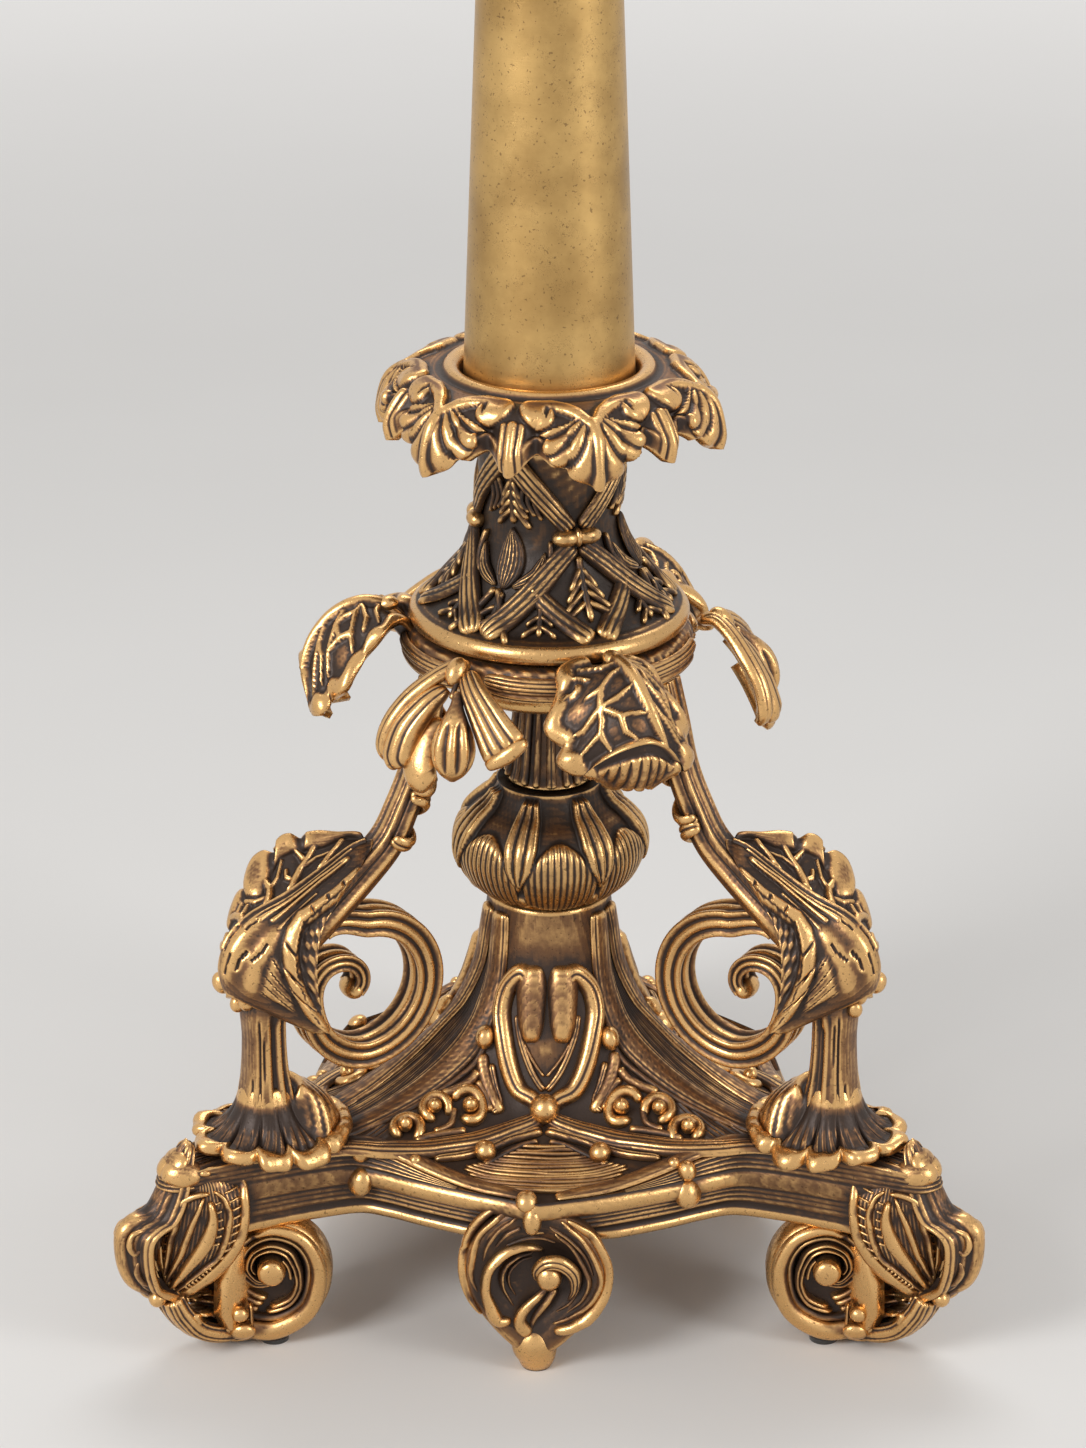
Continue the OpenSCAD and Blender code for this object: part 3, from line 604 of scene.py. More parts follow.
def neck_form():
    """Turned ground, and on it the straps, beads, wheat ears and small leaves of three knots."""
    shells = [lathe(np.concatenate([outside, inside]), neck_ground, 200)]

    def lay(az, side, points, *sizes, **more):
        shells.append(strap_on(neck_at, [[az + side * p[0], p[1]] for p in points], *sizes, **more))

    for az in LEAVES:
        for side in (-1, 1):
            lay(az, side, [[4, 392], [24, 379], [53, 354]], np.linspace(4.6, 6.8, 37), 3.2, 4, 36, depth=0.3,
                flat=0.3)
            lay(az, side, [[34, 374], [20, 365], [3, 354]], np.linspace(4.4, 5.6, 25), 2.7, 3, 24, depth=0.3)
            lay(az, side, [[5, 399], [28, 416], [58, 438]], np.linspace(4.4, 6, 33), 3, 4, 32, depth=0.3,
                flat=0.3)
            lay(az, side, [[41, 352.5], [48, 362], [55, 372]], 1.8, 2, 1, 16)
            P, N = neck_at(az + side * 9.4, 395.5)
            shells.append(ball(P + N * 1.4, N, (-math.sin(math.radians(az)), math.cos(math.radians(az)), 0),
                               (6.6, 4.2, 4.8), 14, 20))
        # the knot's middle, and the wheat under it and between the straps
        P, N = neck_at(az, 395.5)
        shells.append(ball(P + N * 1.2, N, (0, 0, 1), (4.8, 2.2, 4.4), 10, 14))
        shells += wheat(neck_at, az, 360, 387, 17, 4, 2.3)
        shells += wheat(neck_at, az + 35, 356, 367, 8, 2, 1.9) + wheat(neck_at, az + 85, 356, 367, 8, 2, 1.9)
        # ribbed leaves halfway between two knots
        broad = 0.6 + 6.4 * np.sin(np.pi * np.linspace(0.04, 0.97, 33) ** 0.8)
        lay(az + 60, 1, [[0, 372], [1, 385], [-1, 399]], broad, 2.8, 7, 32, depth=0.5, ends=0.4)
        for side in (-1, 1):
            lay(az + 60, side, [[6, 373], [20, 379], [27, 389]], broad[::2] * 0.5, 2.2, 4, 16, depth=0.5,
                ends=0.4)
            lay(az + 60, side, [[22, 376], [30, 384], [31, 394]], 1.6, 2, 1, 18, ends=0.3)
        shells += (wheat(neck_at, az + 60, 355, 371, 11, 2, 2.2) + wheat(neck_at, az + 60, 401, 429, 15, 4,
                2.3))
        for side in (-1, 1):
            for k in range(3):
                lay(az + 60, side, [[24 - 5 * k, 404 + 2 * k], [18 - 5 * k, 414], [20 - 4 * k, 424]], 1.3,
                    1.6, 1, 14)
    return shells


piece("neck_with_straps", neck_form(), "neck", DARK)

# %% [markdown]
# ## The collar
#
# Six broad leaves hang over the collar's edge. On each, a spine rises from the tip, forks, and its two arms
# curl over into flat round ends that touch the next leaf's. Ribs fan out below the fork, and a small
# three-ribbed drop hangs between. All of that is one relief over a turned form whose edge is
# drawn in and out, worked out from the distance along the surface, in mm, on the two axes k (degrees) and v.

# %% Collar relief
def near_line(x, y, line):
    """Distance of each point (x, y) to a broken line, and how far along it the nearest place is, from 0 to
    1."""
    line = np.asarray(line, float)
    best, share = np.full(x.shape, 1e9), np.zeros(x.shape)
    for k, (a, b) in enumerate(zip(line[:-1], line[1:])):
        d = b - a
        t = np.clip(((x - a[0]) * d[0] + (y - a[1]) * d[1]) / (d @ d), 0, 1)
        dist = np.hypot(x - a[0] - t * d[0], y - a[1] - t * d[1])
        near = dist < best
        best, share = np.where(near, dist, best), np.where(near, (k + t) / (len(line) - 1), share)
    return best, share


def ridge(distance, half, height, square=2):
    """Rounded ridge: height times the root of one minus (distance / half) to a power."""
    return height * np.sqrt(np.maximum(1 - np.minimum(distance / half, 1) ** square, 0))


def collar_form(columns=540, rows=58):
    """Grid of columns round the axis and rows down the outside. The edge's reach and height are sums of soft
    hills of k, and the relief h is the highest of its parts, moved out along the surface's normal."""
    a = np.arange(columns) * 360 / columns
    k = (a - 286 + 30) % 60 - 30
    leafy, drop = bump(0, 13, k), bump(-30, 6, k) + bump(30, 6, k)
    fork = bump(-9, 2.6, k) + bump(9, 2.6, k)
    notch = bump(-21.5, 3.2, k) + bump(21.5, 3.2, k)
    scallop = np.abs(np.sin(np.radians(k * 24))) * (1 - drop) * 1.2
    reach = 75.5 + 5 * leafy + 1.5 * drop - 4.5 * notch - 1.6 * fork - scallop * 0.5
    tip = 446 - 13 * leafy - 8 * drop + 2.6 * fork + 2 * notch + scallop
    key = np.stack([np.stack([0 * a + r, 0 * a + z], -1) for r,
                    z in ((54, 468.3), (60, 466.9), (66, 464.3))] + [np.stack([reach - 4, 0 * a + 457], -1),
            np.stack([reach, tip + 10], -1), np.stack([reach - 1.2, tip + 2.5], -1)], 1)
    s = np.linspace(0, 1, rows) * (key.shape[1] - 1)
    outer = rows_at(np.moveaxis(key, 1, 0), s)
    v = np.concatenate([np.zeros((1, columns)), np.cumsum(np.linalg.norm(np.diff(outer, axis=0), axis=-1),
            0)])
    r, x = outer[..., 0], np.radians(k)[None] * outer[..., 0]
    side = np.abs(x)
    # ground, leaf blade and ribs
    low_v = v - 15
    spread = 4 + 19 * ramp(-3, 6, low_v) * (1 - 0.55 * ramp(12, 30, low_v))
    blade = ramp(spread + 1.6, spread - 0.6, side) * ramp(9, 13, v)
    psi = np.degrees(np.arctan2(side + 0.3, v - 11)) - 0.035 * np.maximum(v - 15, 0) ** 2 * (side / 20)
    ribs = np.abs(np.sin(np.radians(psi * 180 / 19.5))) ** 0.6 * ramp(0.8, 3, side)
    h = -2.4 * (1 - blade) * ramp(4, 9, v) + blade * (0.2 + 2.9 * ribs)
    # the drop between two leaves
    away = (30 - np.abs(k)) * np.pi / 180 * r
    body = ridge(away, 7.6 - 0.05 * v, 4.2) * ramp(12, 17, v)
    drop_ribs = body * (0.55 + 0.45 * np.abs(np.cos(np.pi * away / 5.2)) ** 0.6)
    h = np.maximum(h, -2.4 + drop_ribs * 1.35)
    # spine, arms and their round ends, and the small fold inside the fork
    d, t = near_line(x, v, [[0, 17], [0.3, 26], [0, 36], [0, 50]])
    h = np.maximum(h, ridge(d, mix(3.2, 2.2, t), 4.4) - 0.2)
    arm = [[0, 19], [2.6, 15.4], [5.4, 11.6], [10, 8], [15.5, 6], [21.5, 6.6]]
    d, t = near_line(side, v, arm)
    h = np.maximum(h, ridge(d, mix(2.6, 4.2, t), 3.5, 4) + 0.4)
    d = np.hypot(side - 23.6, v - 10.4)
    h = np.maximum(h, ridge(d, 8, 3.4, 7) + 0.5)
    d, t = near_line(side, v, [[18.5, 9.4], [20.4, 12.4], [22, 13.4]])
    h = h - bump(0, 0.9, d) * 2 * (side < 20.5)
    d, t = near_line(side, v, [[0, 12.6], [4.5, 7.4], [9.5, 4]])
    h = np.maximum(h, ridge(d, 1.3, 1.6) - 0.4)
    h = h * ramp(0, 2, v) + 0.25 * np.sin(x * 1.9 + v * 0.7) * np.sin(v * 1.1) * (h < -0.5)
    ar = np.radians(a)[None]
    P = np.stack([r * np.cos(ar), r * np.sin(ar), outer[..., 1]], -1)
    du, dv = np.gradient(P, axis=0), np.roll(P, -1, 1) - np.roll(P, 1, 1)
    N = unit(np.cross(du, dv))
    N = (N * np.sign((N[..., 2:]
                      + 0.3 * (N[..., :1] * np.cos(ar)[..., None]
                               + N[..., 1:2] * np.sin(ar)[..., None])).mean()))
    P = P + N * h[..., None]
    ring = lambda r, z: np.stack([(r + 0 * a) * np.cos(ar[0]), (r + 0 * a) * np.sin(ar[0]), z + 0 * a], -1)
    # back along the underside, down the bore's step, and up over the rim of the cup
    under = [ring(r, z) for r, z in ((reach - 3.6, tip + 1.2), (reach - 6, tip + 3),
                                     (reach - 9, 447 - 6 * leafy + 2), (66, 448.5), (60, 449), (50, 446),
                                     (41, 443), (35.5, 438), (5.6, 438), (5.6, 450), (41.8, 450),
                                     (41.8, 467.6), (42.6, 469.4), (44, 470.7), (45.4, 471.2), (47.2, 471.3),
                                     (48.6, 470.8), (49.6, 469.4), (50.6, 468), (52, 467.6))]
    return shell(np.moveaxis(np.concatenate([P, np.stack(under)]), 0, 1), loop=True)


piece("leaf_collar", [collar_form()], "collar", BRIGHT)

# %% [markdown]
# ## The base casting
#
# Seen from above the base is a star with three hollow sides. Its height at any place is blended from two
# curves, one down the middle of a side and one along an arm. The chart used for all its ornament is (a, r):
# a in degrees from the middle of a side, r the reach in mm. Arms and the pillars that run up to the
# neck are chased with long reeds, so the grid is finest across them.

# %% The base's own surface
def smooth_table(rows, steps=300):
    """Two columns of a smooth curve through a table, sorted, for np.interp."""
    c = curve(rows, steps)
    c = c[np.argsort(c[:, 0])]
    return c[:, 0], c[:, 1]


RIM = [[0, 121], [10, 116.5], [22, 114.5], [33, 116], [41, 119], [47.5, 126], [51.5, 145], [54, 168],
       [55.6, 190], [57, 205], [58.4, 211], [60, 213]]
SIDE_TOP = [[30, 201], [31.2, 190], [33, 176], [38, 158], [45, 139], [58, 112], [80, 99], [100, 94.5],
            [121, 92]]
ARM_TOP = [[30, 201], [32, 187], [35, 168], [42, 152], [50, 142], [70, 126], [95, 113], [122, 105.5],
           [150, 104], [192, 104], [213, 102]]
rim_a, rim_r = smooth_table(RIM)
side_r, side_z = smooth_table(SIDE_TOP)
arm_r, arm_z = smooth_table(ARM_TOP)


def rim(a):
    """Reach of the base's edge."""
    return np.interp(np.abs(a), rim_a, rim_r)


def base_top(a, r):
    """Height of the base: the middle curve where a is small, the arm's curve where it is large."""
    return mix(np.interp(r, side_r, side_z), np.interp(r, arm_r, arm_z), ramp(12, 56, np.abs(a)))


def base_azimuth(side, a):
    """Direction of a place in a side's chart: swung most in the side's middle and not at all at the arms."""
    return side + a + SWING * (1 - np.abs(a) / 60)


def on_base(side):
    """Chart of one side: (a, r) to points and upward normals, from small steps along both axes."""
    def spot(a, r):
        az = np.radians(base_azimuth(side, a))
        return np.stack([r * np.cos(az), r * np.sin(az), base_top(a, r)], -1)

    def place(a, r):
        a, r = np.broadcast_arrays(np.asarray(a, float), np.asarray(r, float))
        da, dr = spot(a + 0.5, r) - spot(a - 0.5, r), spot(a, r + 0.4) - spot(a, np.maximum(r - 0.4, 30))
        return spot(a, r), unit(np.cross(dr, da))
    return place


RAIL_Z = 88.2                                     # height of the smooth rail round the rim


def base_form():
    """Closed section for each direction: the top from the neck to the rim, then the wall, the hollow
    underneath and the bore. Three sides of 60 degrees to each hand close into a ring."""
    half = np.concatenate([np.linspace(0, 43, 44, endpoint=False), np.linspace(43, 60, 78)[:-1]])
    a = np.concatenate([[-60], -half[:0:-1], half])[None, :]
    edge = rim(a)
    u = np.linspace(0, 1, 62)[:, None] ** 1.6
    r = 30 + (edge - 1.2 - 30) * u
    z = base_top(a, r)
    arm = ramp(44.2, 46, np.abs(a))
    reed = reeds((np.abs(a) - 44.5) / 15.5 * 2 - 1, 9) ** 0.8
    split = 0.35 * np.sin(np.abs(a) * 5.5 + 1.5 * np.sin(r * 0.03)) * ramp(40, 70, r)
    lift = (reed * 1.7 - 0.9 + split) * arm * ramp(30.5, 36, r) - (1 - arm) * ramp(44, 50, r)
    top = np.stack([r, z + lift], -1)
    deck = base_top(a, edge)
    set_back = mix(11, 4, ramp(6, 20, np.abs(a)))
    inner = np.minimum(edge - set_back - 7, 128)
    pt = lambda rr, zz: np.stack([rr + 0 * a, zz + 0 * a], -1)
    # upper wall in four reeds, the fat smooth rail, a groove, three lower reeds, the cove and the lip
    rail = ramp(58, 56, np.abs(a))
    wall = [pt(edge + mix(-0.8, 1.8, k) + abs(math.sin(4 * math.pi * k)), mix(deck - 0.4, RAIL_Z + 5.4, k))
            for k in np.linspace(0, 1, 17)]
    wall += [pt(edge - 0.4 + (0.8 + 3.8 * math.cos(f)) * rail, RAIL_Z + 4.8 * math.sin(f))
             for f in np.radians(np.linspace(68, -72, 10))]
    wall += [pt(edge - 1 - 1.2 * k + abs(math.sin(3 * math.pi * k)), RAIL_Z - 5.6 - 8 * k)
             for k in np.linspace(0, 1, 13)]
    # below the lip: a small foot moulding, by its distance from the set-back edge
    wall += [pt(edge - set_back + out, zz) for out, zz in (
        (0.6, RAIL_Z - 14.4), (0, RAIL_Z - 16), (0, 71), (1.6, 70), (1.9, 68.2), (1, 66.3), (-1, 66))]
    # the hollow underneath, 8 to 14 mm below the top, and the bore with its two flat ends
    wall += [pt(inner + 1, 66), pt(inner, 67)]
    half_in = mix(inner - 6, 60, 0.5)
    wall += [pt(rr, base_top(a, at) - deep) for rr, at, deep in (
        (inner - 6, inner - 6, 8), (half_in, half_in, 9), (60, 60, 9), (42, 46, 12), (27, 36, 14))]
    wall += [pt(rr, zz) for rr, zz in ((22, 181), (5.6, 181), (5.6, 203), (27, 203), (29, 202.6))]
    section = np.concatenate([top, np.concatenate(wall)], 0)          # (points, columns, 2)
    rings = []
    for side in SIDES:
        az = np.radians(base_azimuth(side, a))
        rings.append(np.stack([section[..., 0] * np.cos(az), section[..., 0] * np.sin(az), section[..., 1]],
                              -1))
    P = np.concatenate(rings, 1)
    up = ramp(28, 34, np.hypot(P[..., 0], P[..., 1])) * (np.arange(len(P)) < 62)[:, None]
    P[..., 2] += waver(P, 13, 0.12) * up
    return shell(np.moveaxis(P, 0, 1), loop=True)


piece("base_casting", [base_form()], "base_plate", BROWN)

# %% [markdown]
# ## Ornament on the base
#
# On each side two reeded straps rise from a bead, swing out and fold over into smooth tongues, and two more
# run down from the bead along the base's edge. Under them lies a field of fine lines, beside them small
# curls. Double clasps hold the base's own smooth rail. All are straps laid in the (a, r) chart.

# %% Straps, rail, beads and curls
def rim_line(inset, a0, a1, steps):
    """Chart points that follow the rim at a distance inside it, found on the flat plan."""
    a = np.linspace(-60, 60, 721)
    x, y = rim(a) * np.cos(np.radians(a)), rim(a) * np.sin(np.radians(a))
    t = unit(np.stack([np.gradient(x), np.gradient(y)], -1))
    x, y = x - t[:, 1] * inset, y + t[:, 0] * inset
    keep = (a >= min(a0, a1)) & (a <= max(a0, a1))
    x, y = x[keep], y[keep]
    length = np.concatenate([[0], np.cumsum(np.hypot(np.diff(x), np.diff(y)))])
    s = np.linspace(0, length[-1], steps + 1)
    x, y = np.interp(s, length, x), np.interp(s, length, y)
    return np.stack([np.degrees(np.arctan2(y, x)), np.hypot(x, y)], -1)


def bead_on(place, a, r, size, sink=0.25, lean=(0, 0, 1)):
    P, N = place(np.array([a]), np.array([r]))
    return ball(P[0] + N[0] * size[2] * (1 - 2 * sink), N[0], lean, size)


def curl(place, a, r, radius, width, height, start=0, sweep_=300, hand=1, close=0.45, count=2):
    """C-shaped or spiral curl: in the chart's own mm round (a, r), from radius to radius times close."""
    f = np.radians(start + hand * np.linspace(0, sweep_, 26))
    q = radius * np.linspace(1, close, 26)
    P, N = place(a + np.degrees(q * np.cos(f) / r), r + q * np.sin(f))
    return strand(P, N, width, height, count, ends=0.2, fine=4)


def at_rim(side, a, out, down):
    """Point past the rim's edge by out and below its deck by down, and the direction that faces it."""
    az = np.radians(base_azimuth(side, a))
    way = np.array([math.cos(az), math.sin(az), 0])
    return way * (rim(a) + out) + [0, 0, float(base_top(a, rim(a))) - down], way


def wound_curl(on, a, r, radius, start, hand, fat=2.3):
    """Fat curl wound round its own bead."""
    return [curl(on, a, r, radius, fat, fat * 1.2, start, 300, hand, 0.6, 1),
            bead_on(on, a, r, (fat * 1.2, fat * 1.2, fat * 1.5), 0.1)]


def side_ornament(side):
    """All ornament of one side. What lay draws is mirrored, but stays 1 degree off the middle, as cast."""
    on = on_base(side)
    out = []
    for s in (-1, 1):
        def lay(rows, width, height, count, steps, **more):
            out.append(strap_on(on, [[1 + s * p[0], p[1]] for p in rows], width, height, count, steps,
                                **more))

        # strap that rises from the bead, folds over at the top and hangs as a smooth tongue
        lay([[1.5, 59.5], [6.5, 56.3], [14.7, 54.1], [22.6, 49.7], [29.4, 44.6], [33.6, 40.6], [32.8, 37],
             [27, 34.9], [20, 34.2], [13.5, 35.2]], graded(60, [0, 0.25, 0.7, 1], [3.8, 5, 5, 4.6]), 5, 2,
            60, depth=0.18, ends=0.06, fine=6)
        lay([[13.4, 33.2], [12.4, 35.4], [11.6, 38], [10.8, 41], [9.4, 45]],
            graded(30, [0, 0.35, 0.8, 1], [7.2, 7.6, 6.6, 5]), 5.4, 1, 30, ends=0.3, fine=14)
        lay([[21, 40.5], [17.5, 44], [9, 49.5], [0.6, 54]], 1.9, 1.9, 2, 24)
        lay([[14, 45.2], [8, 48], [0.6, 51]], 0.9, 1.4, 1, 16)
        lay([[38, 52.5], [34.4, 56], [28.4, 59.4], [20, 63.4]], 3.2, 2.8, 1, 24, ends=0.2)
        # pillar beside the panel, running on as the arm's edge
        lay([[50, 30.4], [48.4, 32.2], [46.2, 37], [45.6, 44], [46.4, 53], [48.2, 64.4], [50.2, 79],
             [53, 102], [55, 126], [56.4, 148]], graded(100, [0, 0.3, 1], [5.4, 7, 6.4]), 3.4, 7, 100,
            depth=0.42, ends=0.04, fine=3)
        lay([[40, 44], [38.4, 47], [39, 55], [42, 66], [45.4, 80], [48.8, 98], [51.4, 114]], 1.7, 2, 1, 50)
        # ridge from the bead down to the arm, and the short ones under it
        lay([[0.5, 61.5], [5.5, 65], [17, 73], [27, 87.5], [34.8, 103], [42.4, 117.5], [48.4, 130],
             [51.6, 148], [53.4, 166]], graded(80, [0, 0.2, 0.6, 1], [3.6, 5.4, 5.6, 4]), 4.2, 5, 80,
            depth=0.34, ends=0.05, fine=4)
        lay([[0.8, 68.5], [7, 71.5], [14, 76], [20, 84.5], [26, 96], [31, 105]], np.linspace(3, 2, 41), 2.8,
            2, 40)
        lay([[2, 74.5], [8, 77.5], [14, 84.5], [18, 94]], 1.4, 1.6, 1, 24)
        # striped band along the rim
        lay(rim_line(4.6, 4, 55, 14), 4.3, 2.6, 5, 90, depth=0.45, fine=3)
        # clasp: two beads drawn over the band and the rail
        a = 35.4 if s > 0 else 46
        P, way = at_rim(side, s * a, 0.6, 2.5)
        out.append(ball(P, way + [0, 0, 1.2], np.cross(way, [0, 0, 1]), (4.6, 5.2, 5), 14, 20))
        P, way = at_rim(side, s * a, 1.6, float(base_top(a, rim(a))) - RAIL_Z + 2.4)
        out.append(ball(P, way + [0, 0, 0.3], np.cross(way, [0, 0, 1]), (7, 7.6, 5.6), 14, 20))
        # beads and wound curls
        out.append(bead_on(on, s * 37.8, 48.4, (6.2, 4.6, 4.8), 0.2))
        out.append(bead_on(on, s * 18.6, 87.5, (5.6, 5.4, 5), 0.2))
        out.append(bead_on(on, s * 33.4, 112.5, (3, 3, 2.6)))
        out += wound_curl(on, s * 31.4, 71.5, 8, 90 - s * 70, -s, 3.3)
        out += wound_curl(on, s * 40.6, 83.5, 7.2, 90 + s * 110, s, 3)
        out += wound_curl(on, s * 42.6, 100.5, 7.8, 90 + s * 80, s, 3)
        lay([[36.5, 57.5], [37.5, 63], [40.2, 70], [43.4, 77]], 2.4, 2.8, 1, 18)
        lay([[24.5, 66], [29, 62], [35, 60.5]], 2, 2.4, 1, 14)
        lay([[29, 81], [33, 88], [36.6, 96], [38.6, 103]], 2.2, 2.6, 1, 24)
        lay([[36.4, 76.5], [34.4, 84], [36.6, 92.5]], 1.9, 2.3, 1, 18)
        lay([[23.6, 66], [22.4, 60.6], [26.4, 56.8], [31.8, 52.6]], 1.9, 2, 2, 22)
    out.append(bead_on(on, 1, 60.2, (7.6, 7.4, 7), 0.2))
    for k, r in enumerate(np.arange(78, 111, 2.3)):
        w = np.interp(r, [77, 88, 100, 112], [7, 17, 23.5, 14])
        out.append(strap_on(on, [[1 - w, r], [-3, r + 0.8 * math.sin(k * 2.1)],
                                 [6, r - 0.7 * math.sin(k * 1.4)], [1 + w, r]], 1.15, 1.5, 1, 30, ends=0.3,
                            fine=3))
    return out


for k, side in enumerate(SIDES):
    piece(f"base_ornament_{k + 1}", side_ornament(side), None, BRIGHT)

# %% [markdown]
# ## Bulb and fluted stem
#
# Seven broad petals wrap the bulb from below, each with a dozen fine ribs and an arched upper edge. Between
# each two hangs a pointed leaf with three ribs. The stem above is a dark core with slim bright reeds in
# pairs.

# %% Bulb
BULB = [[27, 203], [34, 207.6], [41, 214.6], [45, 224], [45.4, 231], [43, 238.5], [37, 245.5], [31, 250.5],
        [27, 256], [25.5, 262]]


PETAL, HALF_PETAL, FIRST_PETAL = 51.43, 25.71, 277          # degrees


def petals(a, row, P, out):
    """Relief of the bulb: a petal's upper edge is an arch, and its ribs are reeds across its width; pointed
    leaves narrow to nothing at their tips and lie over the petals."""
    z = P[..., 2]
    outer = (np.hypot(P[..., 0], P[..., 1]) > 25) & (row < 91)
    k = (a - FIRST_PETAL + HALF_PETAL) % PETAL - HALF_PETAL
    arch = 243 - 15 * (k / 22) ** 2
    low = 204.5 + 4.5 * (k / 22) ** 2
    inside = ramp(0.6, -0.8, np.abs(k) - 23.4) * ramp(1, -1.4, z - arch) * ramp(-0.6, 1.2, z - low)
    ribbed = 0.55 + 0.75 * reeds(k / 23.4, 12)
    h = inside * (1 + 1.4 * ribbed * ramp(2, -5, z - arch))
    j = (a - FIRST_PETAL) % PETAL - HALF_PETAL
    wide = np.interp(z, [219, 223, 230, 240, 250, 259], [0.1, 2.5, 8, 11, 11, 8])
    leaf_in = ramp(0.8, -0.8, np.abs(j) - wide) * (z > 219) * ramp(260, 256, z)
    blade = 1.6 + 2.6 * reeds(np.clip(j / np.maximum(wide, 0.5), -1, 1), 3) ** 0.8
    h = np.maximum(h, leaf_in * blade)
    d = np.hypot(j * 0.62, z - 210.5)
    h = np.maximum(h, ridge(d, 4.2, 3.4))
    return P + out * (np.where(outer, h - 1, 0) * ramp(202.5, 206, z))[..., None]


hollow = [[5.6, 262], [5.6, 250], [20, 247], [30, 240], [38, 231], [38, 224], [34, 215], [24, 209],
          [22, 203]]
piece("bulb_with_petals", [lathe(np.concatenate([curve(BULB, 90), hollow]), petals, 476)], "bulb",
      DIM)

# %% Stem
core = np.concatenate([curve([[20.5, 262], [18.6, 268], [17.6, 276], [15.8, 292], [14.6, 304], [14.8, 312]],
                             30), [[5.6, 312], [5.6, 262]]])
shells = [lathe(core, None, 96)]
stem_at = on_turned(core[:31])
for k in range(6):
    for side in (-1, 1):
        az = 243 + 60 * k + side * 8.5
        shells.append(strap_on(stem_at, [[az, 262.6], [az, 276], [az, 294], [az, 311.4]],
                               np.linspace(1.9, 1.5, 31), 2.3, 1, 30, ends=0.05, fine=8))
    az = 273 + 60 * k
    shells.append(strap_on(stem_at, [[az, 262.6], [az, 280], [az, 311.4]], np.linspace(2.6, 1.9, 31), 1, 2,
                           30, ends=0.05))
piece("reeded_stem", shells, "fluted_stem", DIM)

# %% [markdown]
# ## Ribbon ring, leaves and bows
#
# The ring is a swag of ribbons tied six times round the foot of the neck. Three ties carry broad leaves that
# bend over and down, with a thick wavy rim, a strong midrib and branching veins. The other three are bows: a
# knot, two folded loops, a slit bud between, and a cut end.

# %% Ring
RING = [[66, 326], [68.6, 329], [69.3, 333], [68.9, 337.5], [66.6, 341.4], [62, 342.9]]
ring_at = on_turned(RING)
body = np.concatenate([[[51, 326], [58, 325.2]], curve(RING, 24), [[56, 343.4], [51, 342.8]]])


def ring_ground(a, row, P, out):
    """The ring's face is sunk by 0.6 mm and roughened, so that its ribbons stand on it."""
    face = np.hypot(P[..., 0], P[..., 1]) > 60
    return P + out * (waver(P, 6, 0.3) - 0.6)[..., None] * face[..., None]


shells = [lathe(body, ring_ground, 220)]
for az in LEAVES + BOWS:
    shells.append(strap_on(ring_at, [[az + 4, 336.5], [az + 18, 335.2], [az + 42, 335.2], [az + 56, 336.5]],
                           graded(48, [0, 0.2, 0.8, 1], [3, 4.3, 4.3, 3]), 2.6, 4, 48, depth=0.4))
    shells.append(strap_on(ring_at, [[az + 5, 331], [az + 18, 329], [az + 42, 329], [az + 55, 331]],
                           graded(40, [0, 0.2, 0.8, 1], [1.8, 2.4, 2.4, 1.8]), 2, 2, 40, depth=0.4))
piece("ring_of_ribbons", shells, "ribbon_ring", BRIGHT)

# %% Leaf on the ring
RING_LEAF = [[68.5, 337, 7, 0], [76, 347, 10, 2], [84, 351, 17, 9], [93, 350.5, 23, 19], [102, 346, 26, 27],
             [110, 338, 26, 28], [115, 329, 23, 24], [117, 319, 19, 14], [115, 308, 13, 6], [110, 299, 8, 2]]


